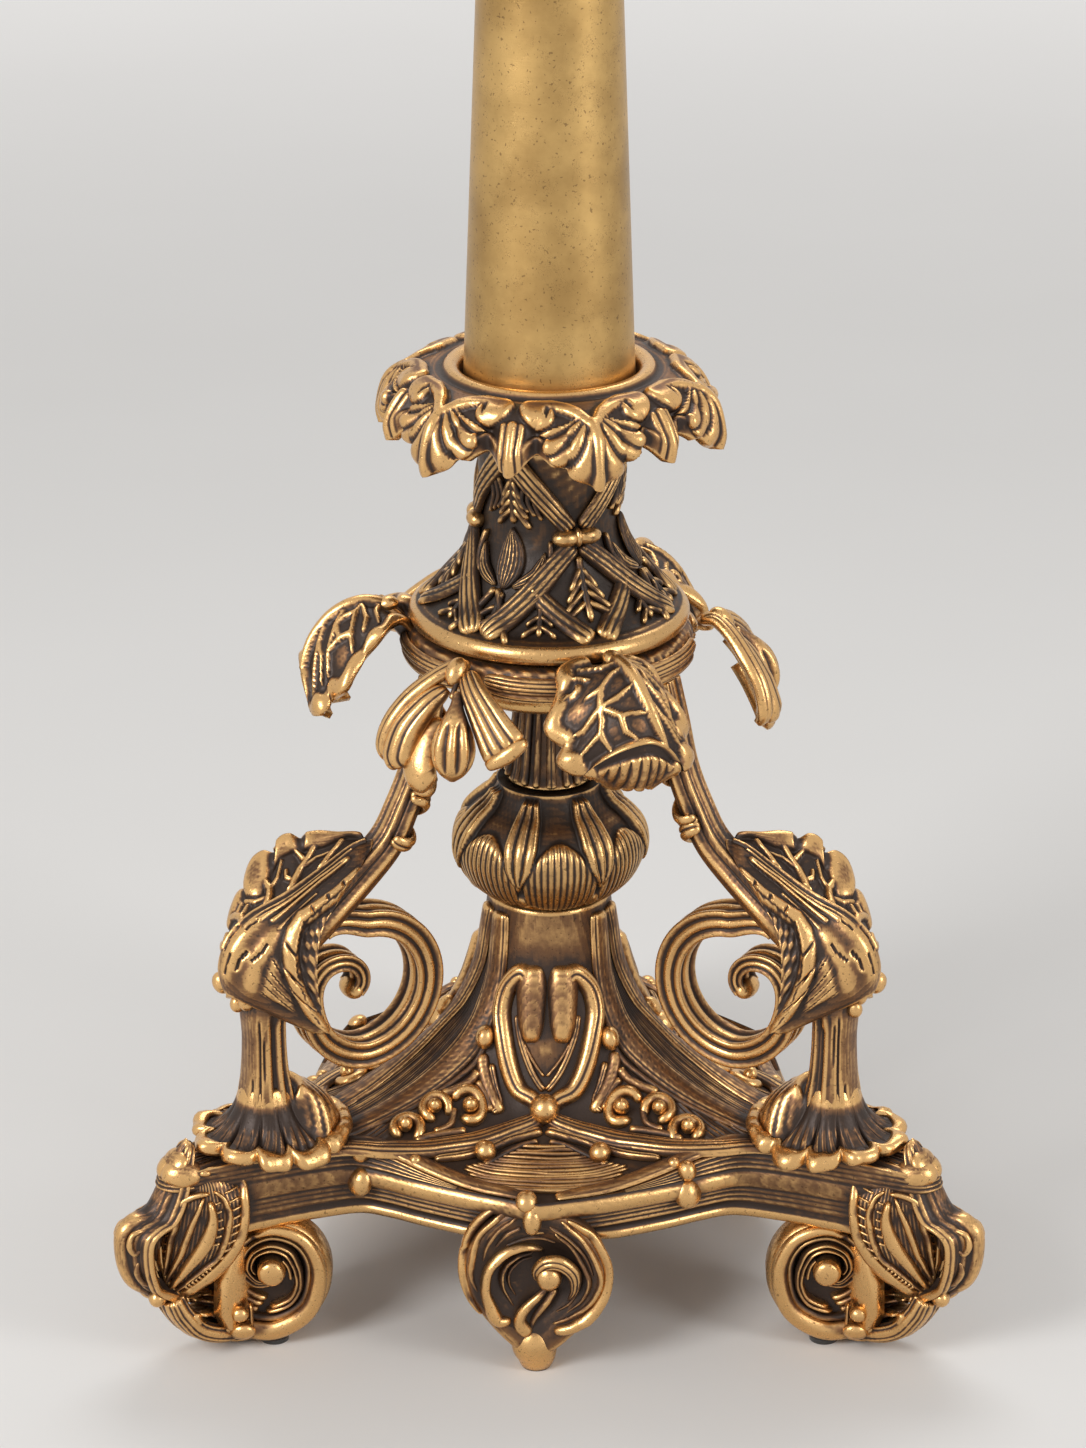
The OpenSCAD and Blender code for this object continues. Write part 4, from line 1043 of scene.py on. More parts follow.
def ring_leaf_form(left=1, n=96, m=80):
    """Leaf springing from the ring: t runs across from -1 to 1, the edges fall by a power of t, and the
    clockwise half is a third broader, the other by the factor left. Relief: rim, midrib, veins in mm of the
    flattened blade, and at the folded tip a comb of fine ribs."""
    u = np.linspace(0, 1, n)
    q = rows_at(RING_LEAF, u * (len(RING_LEAF) - 1))
    t = np.linspace(-1, 1, m)[None, :]
    wave = (1 + 0.1 * np.sin(u * 31 + 1)[:, None] * (np.abs(t) ** 2) * ramp(0.15, 0.3, u)[:, None]
            * ramp(0.86, 0.7, u)[:, None])
    e = np.abs(t) ** 1.8
    broad = np.where(t < 0, 1.3, left)
    P = np.stack([q[:, :1] - np.where(t < 0, 14, 6) * e, t * q[:, 2:3] * broad * wave,
                  q[:, 1:2] - q[:, 3:4] * e * np.where(t < 0, 0.85, 1)], -1)
    x, y = t * q[:, 2:3] * broad, u[:, None] * 95 + 0 * t
    fold = 0.735
    on_top = ramp(fold + 0.02, fold - 0.02, u)[:, None]
    h = -1 + 0 * x
    d, s = near_line(x, y, [[0, 4], [0.5, 25], [2.5, 45], [5.5, 58], [9.5, 70]])
    h = np.maximum(h, ridge(d, mix(3.6, 2.4, s), 4.4) - 0.6)
    veins = [[[0, 22], [-9, 25], [-16, 22]], [[-16, 46], [-13, 38], [-7, 32], [0, 29]],
             [[-16, 46], [-8, 45], [1, 41]], [[-16, 46], [-9, 53], [2, 55]],
             [[-16, 46], [-18, 56], [-15, 66]], [[-16, 46], [-25, 50], [-31, 48]], [[-18, 56], [-26, 61]],
             [[-9, 53], [-8, 61], [-4, 66]], [[-13, 38], [-19, 39]], [[0, 16], [7, 20], [14, 21]],
             [[0, 24], [8, 31], [17, 35], [23, 36]], [[1, 34], [10, 42], [18, 48], [25, 50]],
             [[3, 46], [11, 53], [19, 60], [24, 64]], [[8, 31], [8, 37], [10, 42]],
             [[17, 35], [16, 41], [18, 48]], [[10, 42], [17, 41]], [[11, 53], [17, 52], [24, 55]],
             [[5, 27], [12, 26], [18, 29]]]
    for line in veins:
        d, s = near_line(x, y, line)
        h = np.maximum(h, ridge(d, mix(1.8, 1, s), 2.6) - 0.9)
    f = np.hypot(x + 23, y - 31)
    turn_ = np.degrees(np.arctan2(y - 31, x + 23))
    h = np.maximum(h, ridge(np.abs(f - 2 - 4.2 * ((turn_ % 360) / 360)), 1.4, 2.8) - 0.7)
    edge = (1 - np.abs(t)) * q[:, 2:3] * broad
    h = np.maximum(h, ridge(np.abs(edge - 2.2 - 0.8 * np.sin(y * 0.55)), 3.4, 4) - 0.6)
    h = np.maximum(h, ridge(np.abs(u[:, None] - fold) * 95, 3.4, 4) - 0.4 + 0 * x)
    comb = 0.4 + 2 * reeds(np.clip(x / 24, -1, 1), 11)
    h = np.where(on_top > 0.5, h, np.maximum(ridge(np.abs(edge - 2), 2.6, 3.2) - 0.4,
                                             np.where(u[:, None] > fold + 0.06, comb, -1.2)))
    return leaf(P, 4, h * ramp(0, 0.06, u)[:, None])


for k, az in enumerate(LEAVES):
    stalk = strand(curve([[66, 0, 335], [70, 0, 341.5], [76, 0, 347.5], [82, 0, 351.5]], 20), (0, 0, 1),
                   np.linspace(5.2, 3, 21), 3, 2, under=3)
    bud = ball((77, 0, 350.2), (0.2, 0, 1), (1, 0, 0), (5.4, 4.4, 4), 12, 18)
    piece(f"veined_leaf_{k + 1}", [ring_leaf_form(1.25 if k == 0 else 1), stalk, bud], f"ring_leaf_{k + 1}",
          BRIGHT, turned=az)

# %% Bow
def fat(points, width, height, up=(1, 0, 0.5), count=3, steps=36, depth=0.2, **more):
    """Full-bodied strap: as deep below its path as above."""
    c = curve(points, steps)
    w, h = even(steps, width), even(steps, height)
    return strand(c, up, w, h, count, depth, under=float(np.mean(height)) * 0.8, ends=more.pop("ends", 0.16),
                  **more)


def bud_form():
    """Slit bud: a drop turned round a leaning axis, with four grooves that fade to its tip."""
    c = curve([[89, 2.6, 336, 2], [93.4, 4.6, 331.5, 3.2], [96.6, 5.8, 326.5, 5.8], [99, 6.6, 320.5, 8.8],
               [100.6, 7, 313.5, 10.4], [102, 7.4, 306.5, 9.2], [103, 7.8, 301.5, 5.8],
               [103.6, 8, 298.4, 1.4]], 44)
    f = np.linspace(0, 2 * np.pi, 49)[:-1]
    s = np.linspace(0, 1, 45)[:, None]
    slit = 1 - 0.3 * np.abs(np.cos(f * 4))[None, :] ** 5 * ramp(0.3, 0.42, s) * ramp(0.86, 0.66, s)
    sec = np.stack([c[:, 3:4] * slit * np.cos(f), c[:, 3:4] * slit * np.sin(f)], -1)
    return sweep(c[:, :3], (1, 0, 0.6), sec)


for k, az in enumerate(BOWS):
    shells = [ball((82, -2.4, 343), (1, 0, 0.9), (0, 0, 1), (7.4, 5, 5.2), 16, 22),
              fat([[72, -2, 343], [79, -5, 344], [86, -12, 339.5], [93, -20.5, 331], [99.5, -27, 320],
                   [102, -30, 308], [100, -27.5, 300]], [4, 4.6, 5, 5, 4.4], [3.4, 3.6, 4, 4, 3.4],
                  (0.6, -0.5, 0.8)), fat([[86, -5, 336], [93, -11.5, 329], [99.5, -18, 318],
                                          [103.5, -20.5, 306], [103, -19, 300]], [4, 6.4, 8.2, 8.2, 5.6],
                                         [3.6, 5.6, 7, 7.2, 5]), fat([[90, -5, 322], [96, -9, 313],
            [101, -10, 303], [103, -8, 297.5], [103, -3, 294]], [4.4, 7.4, 9.4, 9, 6],
            [3.4, 5.4, 6.4, 6, 4.2], (1, 0, 0.2), 1),
              fat([[80, 2.5, 343], [87, 10, 337], [92, 20, 328], [95, 28, 320], [96, 33, 315]],
                  [4.6, 6.4, 8.6, 10.6, 12], [3.8, 4.6, 5.2, 5.4, 5.4], (1, 0.2, 0.5), 4, depth=0.3),
              fat([[92, 41, 321.4], [97.4, 33.8, 314.8], [101.6, 25.2, 308.4]], [3.2, 4.2, 3.4],
                  [3.8, 4.6, 4], (1, 0.2, 0.2), 1, 20, ends=0.4),
              fat([[83, 0, 341.5], [87, 0, 337.5], [90.5, 0.4, 333]], [1.6, 1.3, 1.8], [1.6, 1.3, 1.8],
                  (1, 0, 1), 1, 12), bud_form()]
    piece(f"tied_bow_{k + 1}", shells, f"bow_{k + 1}", BRIGHT, turned=az)

# %% [markdown]
# ## Legs and their spirals
#
# A leg leaves the ribbon ring as a flat strap, bends over the knee and drops as a fluted column. Bands are
# wrapped round the strap's inner side. Under the knee a spiral of the same casting runs round and curls
# back like a fern. Both are closed sections carried along a path, with relief added as a function of the
# place round the section.

# %% Legs
def stout(path, up, wide, high, square=2.4, relief=None, round_=56):
    """Full bar along a path: sections are superellipses (|x|^p + |y|^p = 1), and relief(share, degrees)
    adds mm outwards. 0 degrees is sideways and 90 degrees is up."""
    n = len(path)
    f = np.linspace(0, 2 * np.pi, round_, endpoint=False)[None, :]
    c, s = np.cos(f), np.sin(f)
    x, y = np.sign(c) * np.abs(c) ** (2 / square), np.sign(s) * np.abs(s) ** (2 / square)
    h = relief(np.linspace(0, 1, n)[:, None], np.degrees(f)) if relief else 0
    w, t = np.broadcast_to(wide, n)[:, None], np.broadcast_to(high, n)[:, None]
    return sweep(path, up, np.stack([w * x + h * c, t * y + h * s], -1))


LEG = [[63, 324, 5, 8], [67, 303, 6.5, 8.5], [72, 281, 7, 8.5], [80, 262, 7.5, 8.5], [89, 246, 8, 9],
       [104, 232.5, 9, 10], [122, 220, 9.5, 13], [142, 206, 10, 14], [153, 192, 10.5, 14],
       [157, 176, 10, 11.8], [157, 160, 9.6, 10.6], [157, 142, 10.6, 11.4], [157, 126, 12.9, 13.2],
       [157, 108.5, 13.4, 13.4]]


def apart(a, b):
    """Difference of two directions, -180 to 180."""
    return (a - b + 180) % 360 - 180


def leg_relief(u, f):
    """Strap: two broad ridges along the outer face with a groove between, and flat edges. Column: smooth and
    polished outside but for a few long slits, reeded round the rest."""
    strap = ramp(0.52, 0.44, u)
    face = apart(f, 90)
    h = (strap * (1.7 * bump(40, 13, np.abs(face)) + 0.6 * bump(0, 5, face)
                  + 1.2 * bump(92, 9, np.abs(face)) - 0.8 - 0.9 * bump(20, 3.5, np.abs(face))
                  - 0.8 * bump(66, 4, np.abs(face))))
    column = ramp(0.66, 0.72, u)
    flute = np.cos(np.radians(f * 13)) * ramp(74, 92, np.abs(face)) * ramp(1, 0.93, u)
    slit = np.zeros_like(u + f)
    for at, start, end in ((22, 0.72, 0.8), (35, 0.7, 0.95), (58, 0.86, 0.95), (118, 0.85, 0.96),
                           (143, 0.71, 0.93), (157, 0.76, 0.84), (182, 0.72, 0.95), (215, 0.7, 0.88),
                           (250, 0.74, 0.95), (300, 0.72, 0.9), (355, 0.73, 0.96)):
        slit = (slit + bump(0, 3.6, apart(f, at)) * ramp(start - 0.01, start + 0.015, u)
                * ramp(end + 0.02, end - 0.02, u))
    return h + column * (0.8 * flute - 1.6 * slit)


def leg_form():
    """Strap, knee and column as one bar, the bands round its strap and two beads at the knee's end."""
    n = 230
    c = curve(LEG, n)
    path = np.stack([c[:, 0], 0 * c[:, 0], c[:, 1]], -1)
    path[-1, 2] = 106.5
    shells = [stout(path, (1, 0, 0.9), c[:, 3], c[:, 2], 2.6, leg_relief, 96)]
    # bands wrapped over the inner side, each from one edge round the back to the other
    for z, lean in ((306, 5), (291, -5), (277, 6), (264, -6), (252, 4)):
        k = int(np.argmin(np.abs(c[:, 1] - z) + 1000 * (np.arange(n + 1) > n * 0.5)))
        t = unit(path[k + 1] - path[k - 1])
        nrm = unit(np.cross(np.array([0, 1, 0]), t))
        nrm = nrm if nrm[0] > 0 else -nrm
        f = np.radians(np.linspace(-208, 28, 40))[:, None]
        x, y = np.cos(f), np.sin(f)
        around = (path[k] + np.array([0, 1, 0]) * (c[k, 3] + 0.2) * np.sign(x) * np.abs(x) ** 0.8
                  + nrm * (c[k, 2] + 0.2) * np.sign(y) * np.abs(y) ** 0.8 + t * lean * x)
        out_ = unit(around - path[k])
        shells.append(strand(around, out_, 4.4, 3, 2, 0.42, under=1.5, ends=0.2, fine=8))
    shells += [ball((167, 3.6, 182.5), (0, 0, 1), (0, 1, 0), (4, 4.4, 5), 12, 18),
               ball((168.6, -3.4, 178.5), (0, 0, 1), (0, 1, 0), (3.4, 3.8, 4.4), 12, 18)]
    return shells


for k, az in enumerate(CORNERS):
    piece(f"leg_{k + 1}_cast", leg_form(), f"leg_{k + 1}", BRIGHT, turned=az)

# %% Spirals
def scroll_relief(u, f):
    """Every corner of the band is a smooth fat ridge, and each face has one fine line between two grooves."""
    corner, face = np.abs(apart(f % 90, 45)), np.abs(apart(f % 90, 0)) % 90
    face = np.minimum(face, 90 - face)
    rims = 1.7 * bump(0, 17, corner) + 0.6 * bump(0, 4, face) - 1.3 * bump(15, 8, face)
    nick = 0.8 * bump(0, 4, apart(f, 104)) * (bump(0.3, 0.04, u) + bump(0.48, 0.05, u) + bump(0.16, 0.02, u))
    return (rims - nick - 0.6) * mix(1, 0.7, ramp(0.6, 1, u))


def scroll_form():
    """Bar along a spiral of direction a: the reach q stays nearly even to the lowest point, then shrinks by a
    smooth table. The spiral's centre moves a little outwards as it winds, and its end is a roll."""
    a = np.linspace(58, 566, 201)
    u = ramp(270, 420, a)
    shrunk = rows_at([[0], [0.13], [0.35], [0.51], [0.63], [0.735], [0.83], [0.915], [1]],
                     np.clip((a - 270) / 37, 0, 8))[:, 0]
    q = np.where(a < 270, mix(33.5, 35.5, ramp(74, 270, a)), mix(35.5, 6, shrunk)) + 9 * ramp(96, 58, a)
    centre_x, centre_z = mix(105, 115, u), mix(175.5, 177, u)
    x, z = centre_x + q * np.cos(np.radians(a)), centre_z + q * np.sin(np.radians(a))
    path = np.stack([x, 0 * x, z], -1)
    out = unit(path - np.stack([centre_x, 0 * x, centre_z], -1))
    thick = mix(6, 7, ramp(70, 100, a)) * mix(1, 0.52, ramp(250, 520, a))
    wide = mix(9.5, 8.2, ramp(300, 554, a))
    roll = ball(path[-1], (0, 1, 0), (1, 0, 0), (5.2, 5.2, 8.4), 16, 24)
    return [stout(path, out, wide, thick, 3.4, scroll_relief, 76), roll]


for k, az in enumerate(CORNERS):
    piece(f"fern_spiral_{k + 1}", scroll_form(), f"leg_scroll_{k + 1}", BRIGHT, turned=az)

# %% [markdown]
# ## Acanthus over the knee
#
# The leaf lies along the knee. Its near half is a bundle of long spines that end in a curled nose, with a
# fat polished edge cut into segments. Its far half stands up as a shell with a lobed rim and branching
# veins. Rows of the table run from the root to the hanging end.

# %% Knee leaves
KNEE = [[97, 249, 4, 3, -4, 4, 2, -2], [107, 247.5, 11, 3, -7, 10, 0, 2], [121, 240.5, 17, 2, -9, 17, -3, 9],
        [136, 233, 20, -2, -13, 23, -6, 16], [149, 227.5, 23, -10, -22, 25, -8, 14],
        [162, 222, 25, -22, -32, 25, -10, 5], [172, 214, 26, -34, -38, 23, -14, -4],
        [177, 204, 26, -42, -36, 20, -17, -12], [179, 195, 22, -38, -29, 15, -17, -14],
        [177, 187, 15, -26, -16, 9, -10, -8]]
FAT_EDGE = [[-25, 17], [-22, 27.5], [-17.8, 38], [-15, 45], [-15.6, 52], [-17.8, 61], [-20.2, 69],
            [-22.6, 76], [-23.6, 84]]


def drawn(x, y, lines, wide, high):
    """Highest of several ridges drawn on a chart, each a smooth line of (x, y) points."""
    found = np.full(np.broadcast(x, y).shape, -9)
    for line in lines:
        d, w = near_line(x + 0 * y, y + 0 * x, line)
        found = np.maximum(found, ridge(d, wide * mix(1, 0.7, w), high))
    return found


def knee_form(n=160, m=118):
    """Sheet from the table's rows: u runs along it and t across from -1 (near) to 1 (far), and the halves
    fall away by a power of t. Its relief is drawn in mm of the flattened blade, x across and y along."""
    u = np.linspace(0, 1, n)[:, None]
    q = rows_at(KNEE, u[:, 0] * (len(KNEE) - 1))
    t = np.linspace(-1, 1, m)[None, :]
    far = t > 0
    x, y = t * 25 + 0 * u, u * 112 + 0 * t
    notch = sum(bump(at, 0.016, u) for at in (0.29, 0.415, 0.55, 0.69, 0.81))
    swell = (bump(0.2, 0.06, u) * 0.1 + bump(0.35, 0.04, u) * 0.05 + bump(0.485, 0.045, u) * 0.13
             + bump(0.62, 0.05, u) * 0.08 + bump(0.75, 0.04, u) * 0.05)
    lobes = 1 + (swell - 0.12 * notch) * far * np.abs(t) ** 3
    e = np.abs(t) ** 1.8
    col = lambda near_, far_: np.where(far, q[:, far_:far_ + 1], q[:, near_:near_ + 1])
    P = np.stack([q[:, :1] + col(3, 6) * e, t * col(2, 5) * lobes,
                  q[:, 1:2] + col(4, 7) * e * mix(1, lobes, 0.8)], -1)
    # near band: midrib, fine lines, the pod's double ridge, the fat edge in segments, the fold under it
    cuts = sum(bump(at, 0.55, y) for at in (22, 30, 38, 58, 67, 74))
    d, w = near_line(x, y, FAT_EDGE)
    h = (-0.9 + 0.25 * np.sin(x * 2.6 + 0.6 * np.sin(y * 0.13)) * ramp(14, 24, y) * ramp(66, 54, y)
         + 0.15 * np.sin(y * 0.9 + x * 0.7))
    h = np.maximum(h, ridge(np.abs(d), mix(4.6, 3, w), mix(6.4, 4.8, w)) - 0.6 - 2.6 * np.clip(cuts, 0, 1)
                   * ramp(3.4, 1, d))
    h = np.maximum(h, drawn(x, y, ([[1.2, 6], [1.2, 40], [0.8, 80]],), 1.2, 2.4) - 0.6)
    h = np.maximum(h, drawn(x, y, ([[-7.6, 19], [-5.4, 30], [-4.8, 44], [-4.2, 60]],
                                   [[-9.6, 20], [-7.8, 30], [-7.4, 42], [-7.2, 56]]), 1.2, 2.7) - 0.7)
    h = np.maximum(h, ridge(np.hypot(x + 8.6, y - 18.6), 2.6, 2.8) - 0.7)
    h = np.maximum(h, drawn(x, y,
                            ([[-1.6, 14], [-2, 40], [-2, 66]], [[-11.5, 34], [-10.5, 46], [-10.5, 56]]), 0.7,
                            1.5) - 0.8)
    # golden nose with oblique slits, and the tan lobe under it
    nose = np.exp(-(((x + 6) / 9.5) ** 4) - ((y - 74) / 23) ** 4)
    h = h * (1 - 0.75 * nose) + 3.6 * nose * (1 - 0.14 * np.cos(x * 0.9 + 0.5))
    slits = drawn(x, y, ([[-10.8, 65], [-10.4, 71], [-9.4, 76]], [[-7.4, 74], [-6.6, 79], [-6.2, 86]],
                         [[-3.8, 61], [-3.4, 67]], [[-3.4, 80], [-3.2, 86], [-3.4, 92]],
                         [[-0.2, 68], [-1, 80]]), 0.5, 1)
    h = h - 1.7 * np.clip(slits, 0, 1)
    low = ramp(-12.5, -14.5, x) * ramp(-20.5, -18.5, x) * ramp(66, 69, y) * ramp(92, 88, y)
    oblique = np.abs(((y + (x + 13) * 0.9) / 5.2) % 1 - 0.5) * 2
    h = h + low * (1.2 - 1.6 * ramp(0.84, 0.96, oblique))
    inner = ramp(0.4, 1.6, -(x + np.interp(y, [17, 45, 61, 84], [25, 15, 17.8, 23.6]))) * (y > 16)
    h = np.where(inner > 0.5,
                 np.minimum(h, ridge(np.abs(d), 2.4, 4.2) - 0.9 + 0.5 * np.sin(y * 1.1) * np.sin(x * 1.3)),
                 h)
    # far shell: brown ground, branching veins and a fat smooth rim
    ground = -1.1 + 0.22 * np.sin(x * 1.7 + np.sin(y * 0.8)) * np.sin(y * 1.3)
    veins = (np.maximum(drawn(x, y, ([[1.5, 41], [6, 37.4], [10, 34], [13, 30.5], [17.5, 27], [22, 23.5]],
                                     [[2, 53], [6, 50.4], [10, 49], [14.5, 50.5], [19, 55]],
                                     [[2, 66], [7, 65], [12, 67], [18, 71]], [[3, 79], [8, 79.5], [14, 84]],
                                     [[1.5, 27], [6, 23], [11, 18], [16, 15]]), 2.4, 3.2),
                        drawn(x, y, ([[9.6, 34.4], [11.5, 27], [9.5, 20]],
                                     [[12.6, 31], [17, 33], [21, 35.5]], [[6, 50.4], [8.4, 56.5], [14, 61]],
                                     [[9.6, 49], [12.5, 44.5], [17.5, 41.5]],
                                     [[6, 37.4], [10, 40.5], [13, 40]], [[7, 65], [10, 60.5]],
                                     [[12, 67], [15, 63.5], [19.5, 64.5]], [[8, 79.5], [12, 76], [17, 77]],
                                     [[14, 84], [17, 90]]), 1.5, 2.5)) - 0.9)
    rim_half = 3.4 + 4.6 * bump(54, 6.5, y) + 1.4 * bump(22, 7, y) + 2 * bump(70, 6, y)
    lip = (ridge((1 - t) * 25 - rim_half * 0.75 + 0 * u, rim_half * 1.15, 3.8) - 0.4
           - 2.2 * np.clip(notch, 0, 1))
    shell_ = np.maximum(np.maximum(ground, veins), lip)
    h = np.where(t > 0.1, shell_, h)
    h = h * ramp(0, 0.05, u)
    return [leaf(P, 4.2, h), ball((173.5, 10, 188), (0.3, 0.2, 1), (1, 0, 0), (4.4, 4.6, 5.6), 14, 20)]


for k, (az, hand) in enumerate(zip(CORNERS, (1, -1, 1))):
    piece(f"knee_acanthus_{k + 1}", knee_form(), f"knee_leaf_{k + 1}", BRIGHT, turned=az,
          mirror=hand > 0)

# %% [markdown]
# ## Leaf round the foot of a leg
#
# A skirt of lobes with a thick wavy lip. Each lobe has fine ribs, two lobes at the outer end are smooth,
# and at the inner end the skirt rises to a ribbed shell.

# %% Foot leaves
LEG_AXIS = 157                                    # reach of the leg's upright column
NOTCHES = np.array([-122, -88, -55, -19, 19, 55, 88, 122, 238])      # degrees round the leg, 0 is outwards


def foot_leaf_form(n=440):
    """Ring of sections round the leg: reach and height are sums of soft functions of the direction a and of
    the share out_ of the way from the leg to the lip. w is the place across a lobe."""
    a = -122 + np.arange(n)[:, None] * 360 / n
    f = np.radians(a)
    i = np.clip(np.searchsorted(NOTCHES, a[:, 0], "right") - 1, 0, 7)[:, None]
    # -1..1 across a lobe
    w = (a - (NOTCHES[i] + NOTCHES[i + 1]) / 2) / (NOTCHES[i + 1] - NOTCHES[i]) * 2
    side = np.abs(apart(a, 0))
    pad = ramp(116, 128, side)
    reach = (np.interp(side, [0, 38, 72, 104, 122, 150, 180], [36, 34.5, 33.5, 36, 37.5, 40, 41])
             * (1 - 0.17 * np.abs(w) ** 4 * (1 - pad)))
    rows = np.array([[9, 104], [9.4, 120], [9.8, 137], [11.8, 134.5], [13.4, 130.5], [14.6, 127],
                     [15.8, 124.5], [17.2, 122.2], [18.8, 120.2], [20.4, 118.6], [22, 117.3], [23.6, 116.2],
                     [25.2, 115.2], [26.6, 114.4], [28, 113.7], [29.4, 113.1], [30.6, 112.7], [31.8, 112.4],
                     [32.8, 112.3]])
    share = ramp(15, 30, rows[None, :, 0])
    out_ = np.clip((rows[None, :, 0] - 13) / 19.8, 0, 1)
    r = np.where(rows[None, :, 0] > 13, mix(13, reach - 5, out_), rows[None, :, 0] + 0 * a)
    smooth = ramp(52, 36, side)
    hollow = -1.7 * (1 - w**2) * share * ramp(1, 0.82, out_) * mix(1, 0.3, smooth) * (1 - pad)
    fold = -3.4 * bump(1, 0.15, np.abs(w)) * share * (1 - pad)
    stripe = np.abs((w * 1.7 * np.sign(apart(a, 0) + 0.01) + out_ * 1.2) % 1 - 0.5) * 2
    slits = 1.3 * (ramp(0.3, 0.62, stripe) - 0.6) * share * ramp(1, 0.86, out_) * (1 - smooth) * (1 - pad)
    few = (-1.3 * (bump(-0.45, 0.05, w - 0.3 * out_) + bump(0.25, 0.05, w - 0.3 * out_))
           * ramp(0.35, 0.5, out_) * ramp(0.95, 0.8, out_) * smooth)
    ribs = np.abs((side * 0.07 + out_ * 3.4) % 1 - 0.5) * 2
    dome = (pad * (13 * np.sqrt(np.maximum(1 - (out_ * 1.05 - 0.42) ** 2 / 0.4, 0)) * ramp(0, 0.2, out_)
                   * ramp(118, 150, side) + 1 * (ramp(0.85, 0.3, ribs) - 0.5) * share))
    z = rows[None, :, 1] + hollow + fold + slits + few + dome
    # thick polished lip, wavy along its edge
    wave = (0.8 * np.sin(np.radians(a * 13)) + 0.7 * np.sin(np.radians(a * 7 + 40))) * (1 - pad)
    lip = np.array([[-4, 0.6], [-2.2, 1.5], [-0.4, 1.9], [1.4, 1.5], [2.8, 0.3], [3.5, -1.5], [3.2, -3.2],
                    [1.6, -4.6], [-1.2, -5.2]])[None]
    r = np.concatenate([r, reach - 2 + lip[..., 0] + wave * (lip[..., 0] > 0)], 1)
    z = np.concatenate([z, 112.2 + dome[:, -1:] * 0.6 + lip[..., 1] + 0.6 * wave], 1)
    drop = np.maximum(0, np.abs(r * np.sin(f)) - 25) * 0.5
    r = np.concatenate([r, 24 + 0 * a, 13 + 0 * a], 1)
    z = np.concatenate([z - drop, 105.4 + 0 * a, 105.4 + 0 * a], 1)
    return [shell(np.stack([LEG_AXIS + r * np.cos(f), r * np.sin(f), z], -1), loop=True)]


for k, az in enumerate(CORNERS):
    piece(f"lobed_skirt_{k + 1}", foot_leaf_form(), f"foot_leaf_{k + 1}", BRIGHT, turned=az)

# %% [markdown]
# ## Corner feet
#
# Each has two flanks that meet at the corner. In a flank's frame x is the way it looks and y runs towards
# the side's middle. A reeded band comes under the corner and winds into a volute round a smooth button;
# beside the corner lies a leaf of ribs with pleated hollows under a smooth egg, and round the corner a
# bigger leaf with a hooked crest.

# %% Volute
VOLUTE_Y, VOLUTE_Z = -134, 43                     # the volute's centre in its flank's frame


def to_arm(V, hand):
    """From a flank's frame to the arm's: turned by 60 degrees, and mirrored for the other flank."""
    V = turn(V, 60)
    return V * (1, hand, 1)


def both(shells):
    """The shells of one flank, and the same mirrored for the other."""
    out = []
    for hand in (1, -1):
        for v, q, t in shells:
            flip = hand < 0
            out.append((to_arm(v, hand), q[:, ::-1] if flip else q, t[:, ::-1] if flip else t))
    return out


def round_volute(rows):
    """Rows of (direction, reach, ...) round the volute's centre, as (y, z, ...). Directions start straight
    down and turn towards the side's middle: y = y0 + reach sin a, z = z0 - reach cos a."""
    return [[VOLUTE_Y + q[1] * math.sin(math.radians(q[0])), VOLUTE_Z - q[1] * math.cos(math.radians(q[0])),
             *q[2:]] for q in rows]


def lathe_x(profile, round_, y, z):
    """Boss turned round an axis along x through (y, z), from (reach, x) rows, outermost last."""
    c = np.asarray(profile, float)
    f = np.linspace(0, 2 * np.pi, round_, endpoint=False)
    return shell(np.stack([c[:, None, 1] + 0 * f, y + c[:, None, 0] * np.cos(f),
                           z + c[:, None, 0] * np.sin(f)], -1))


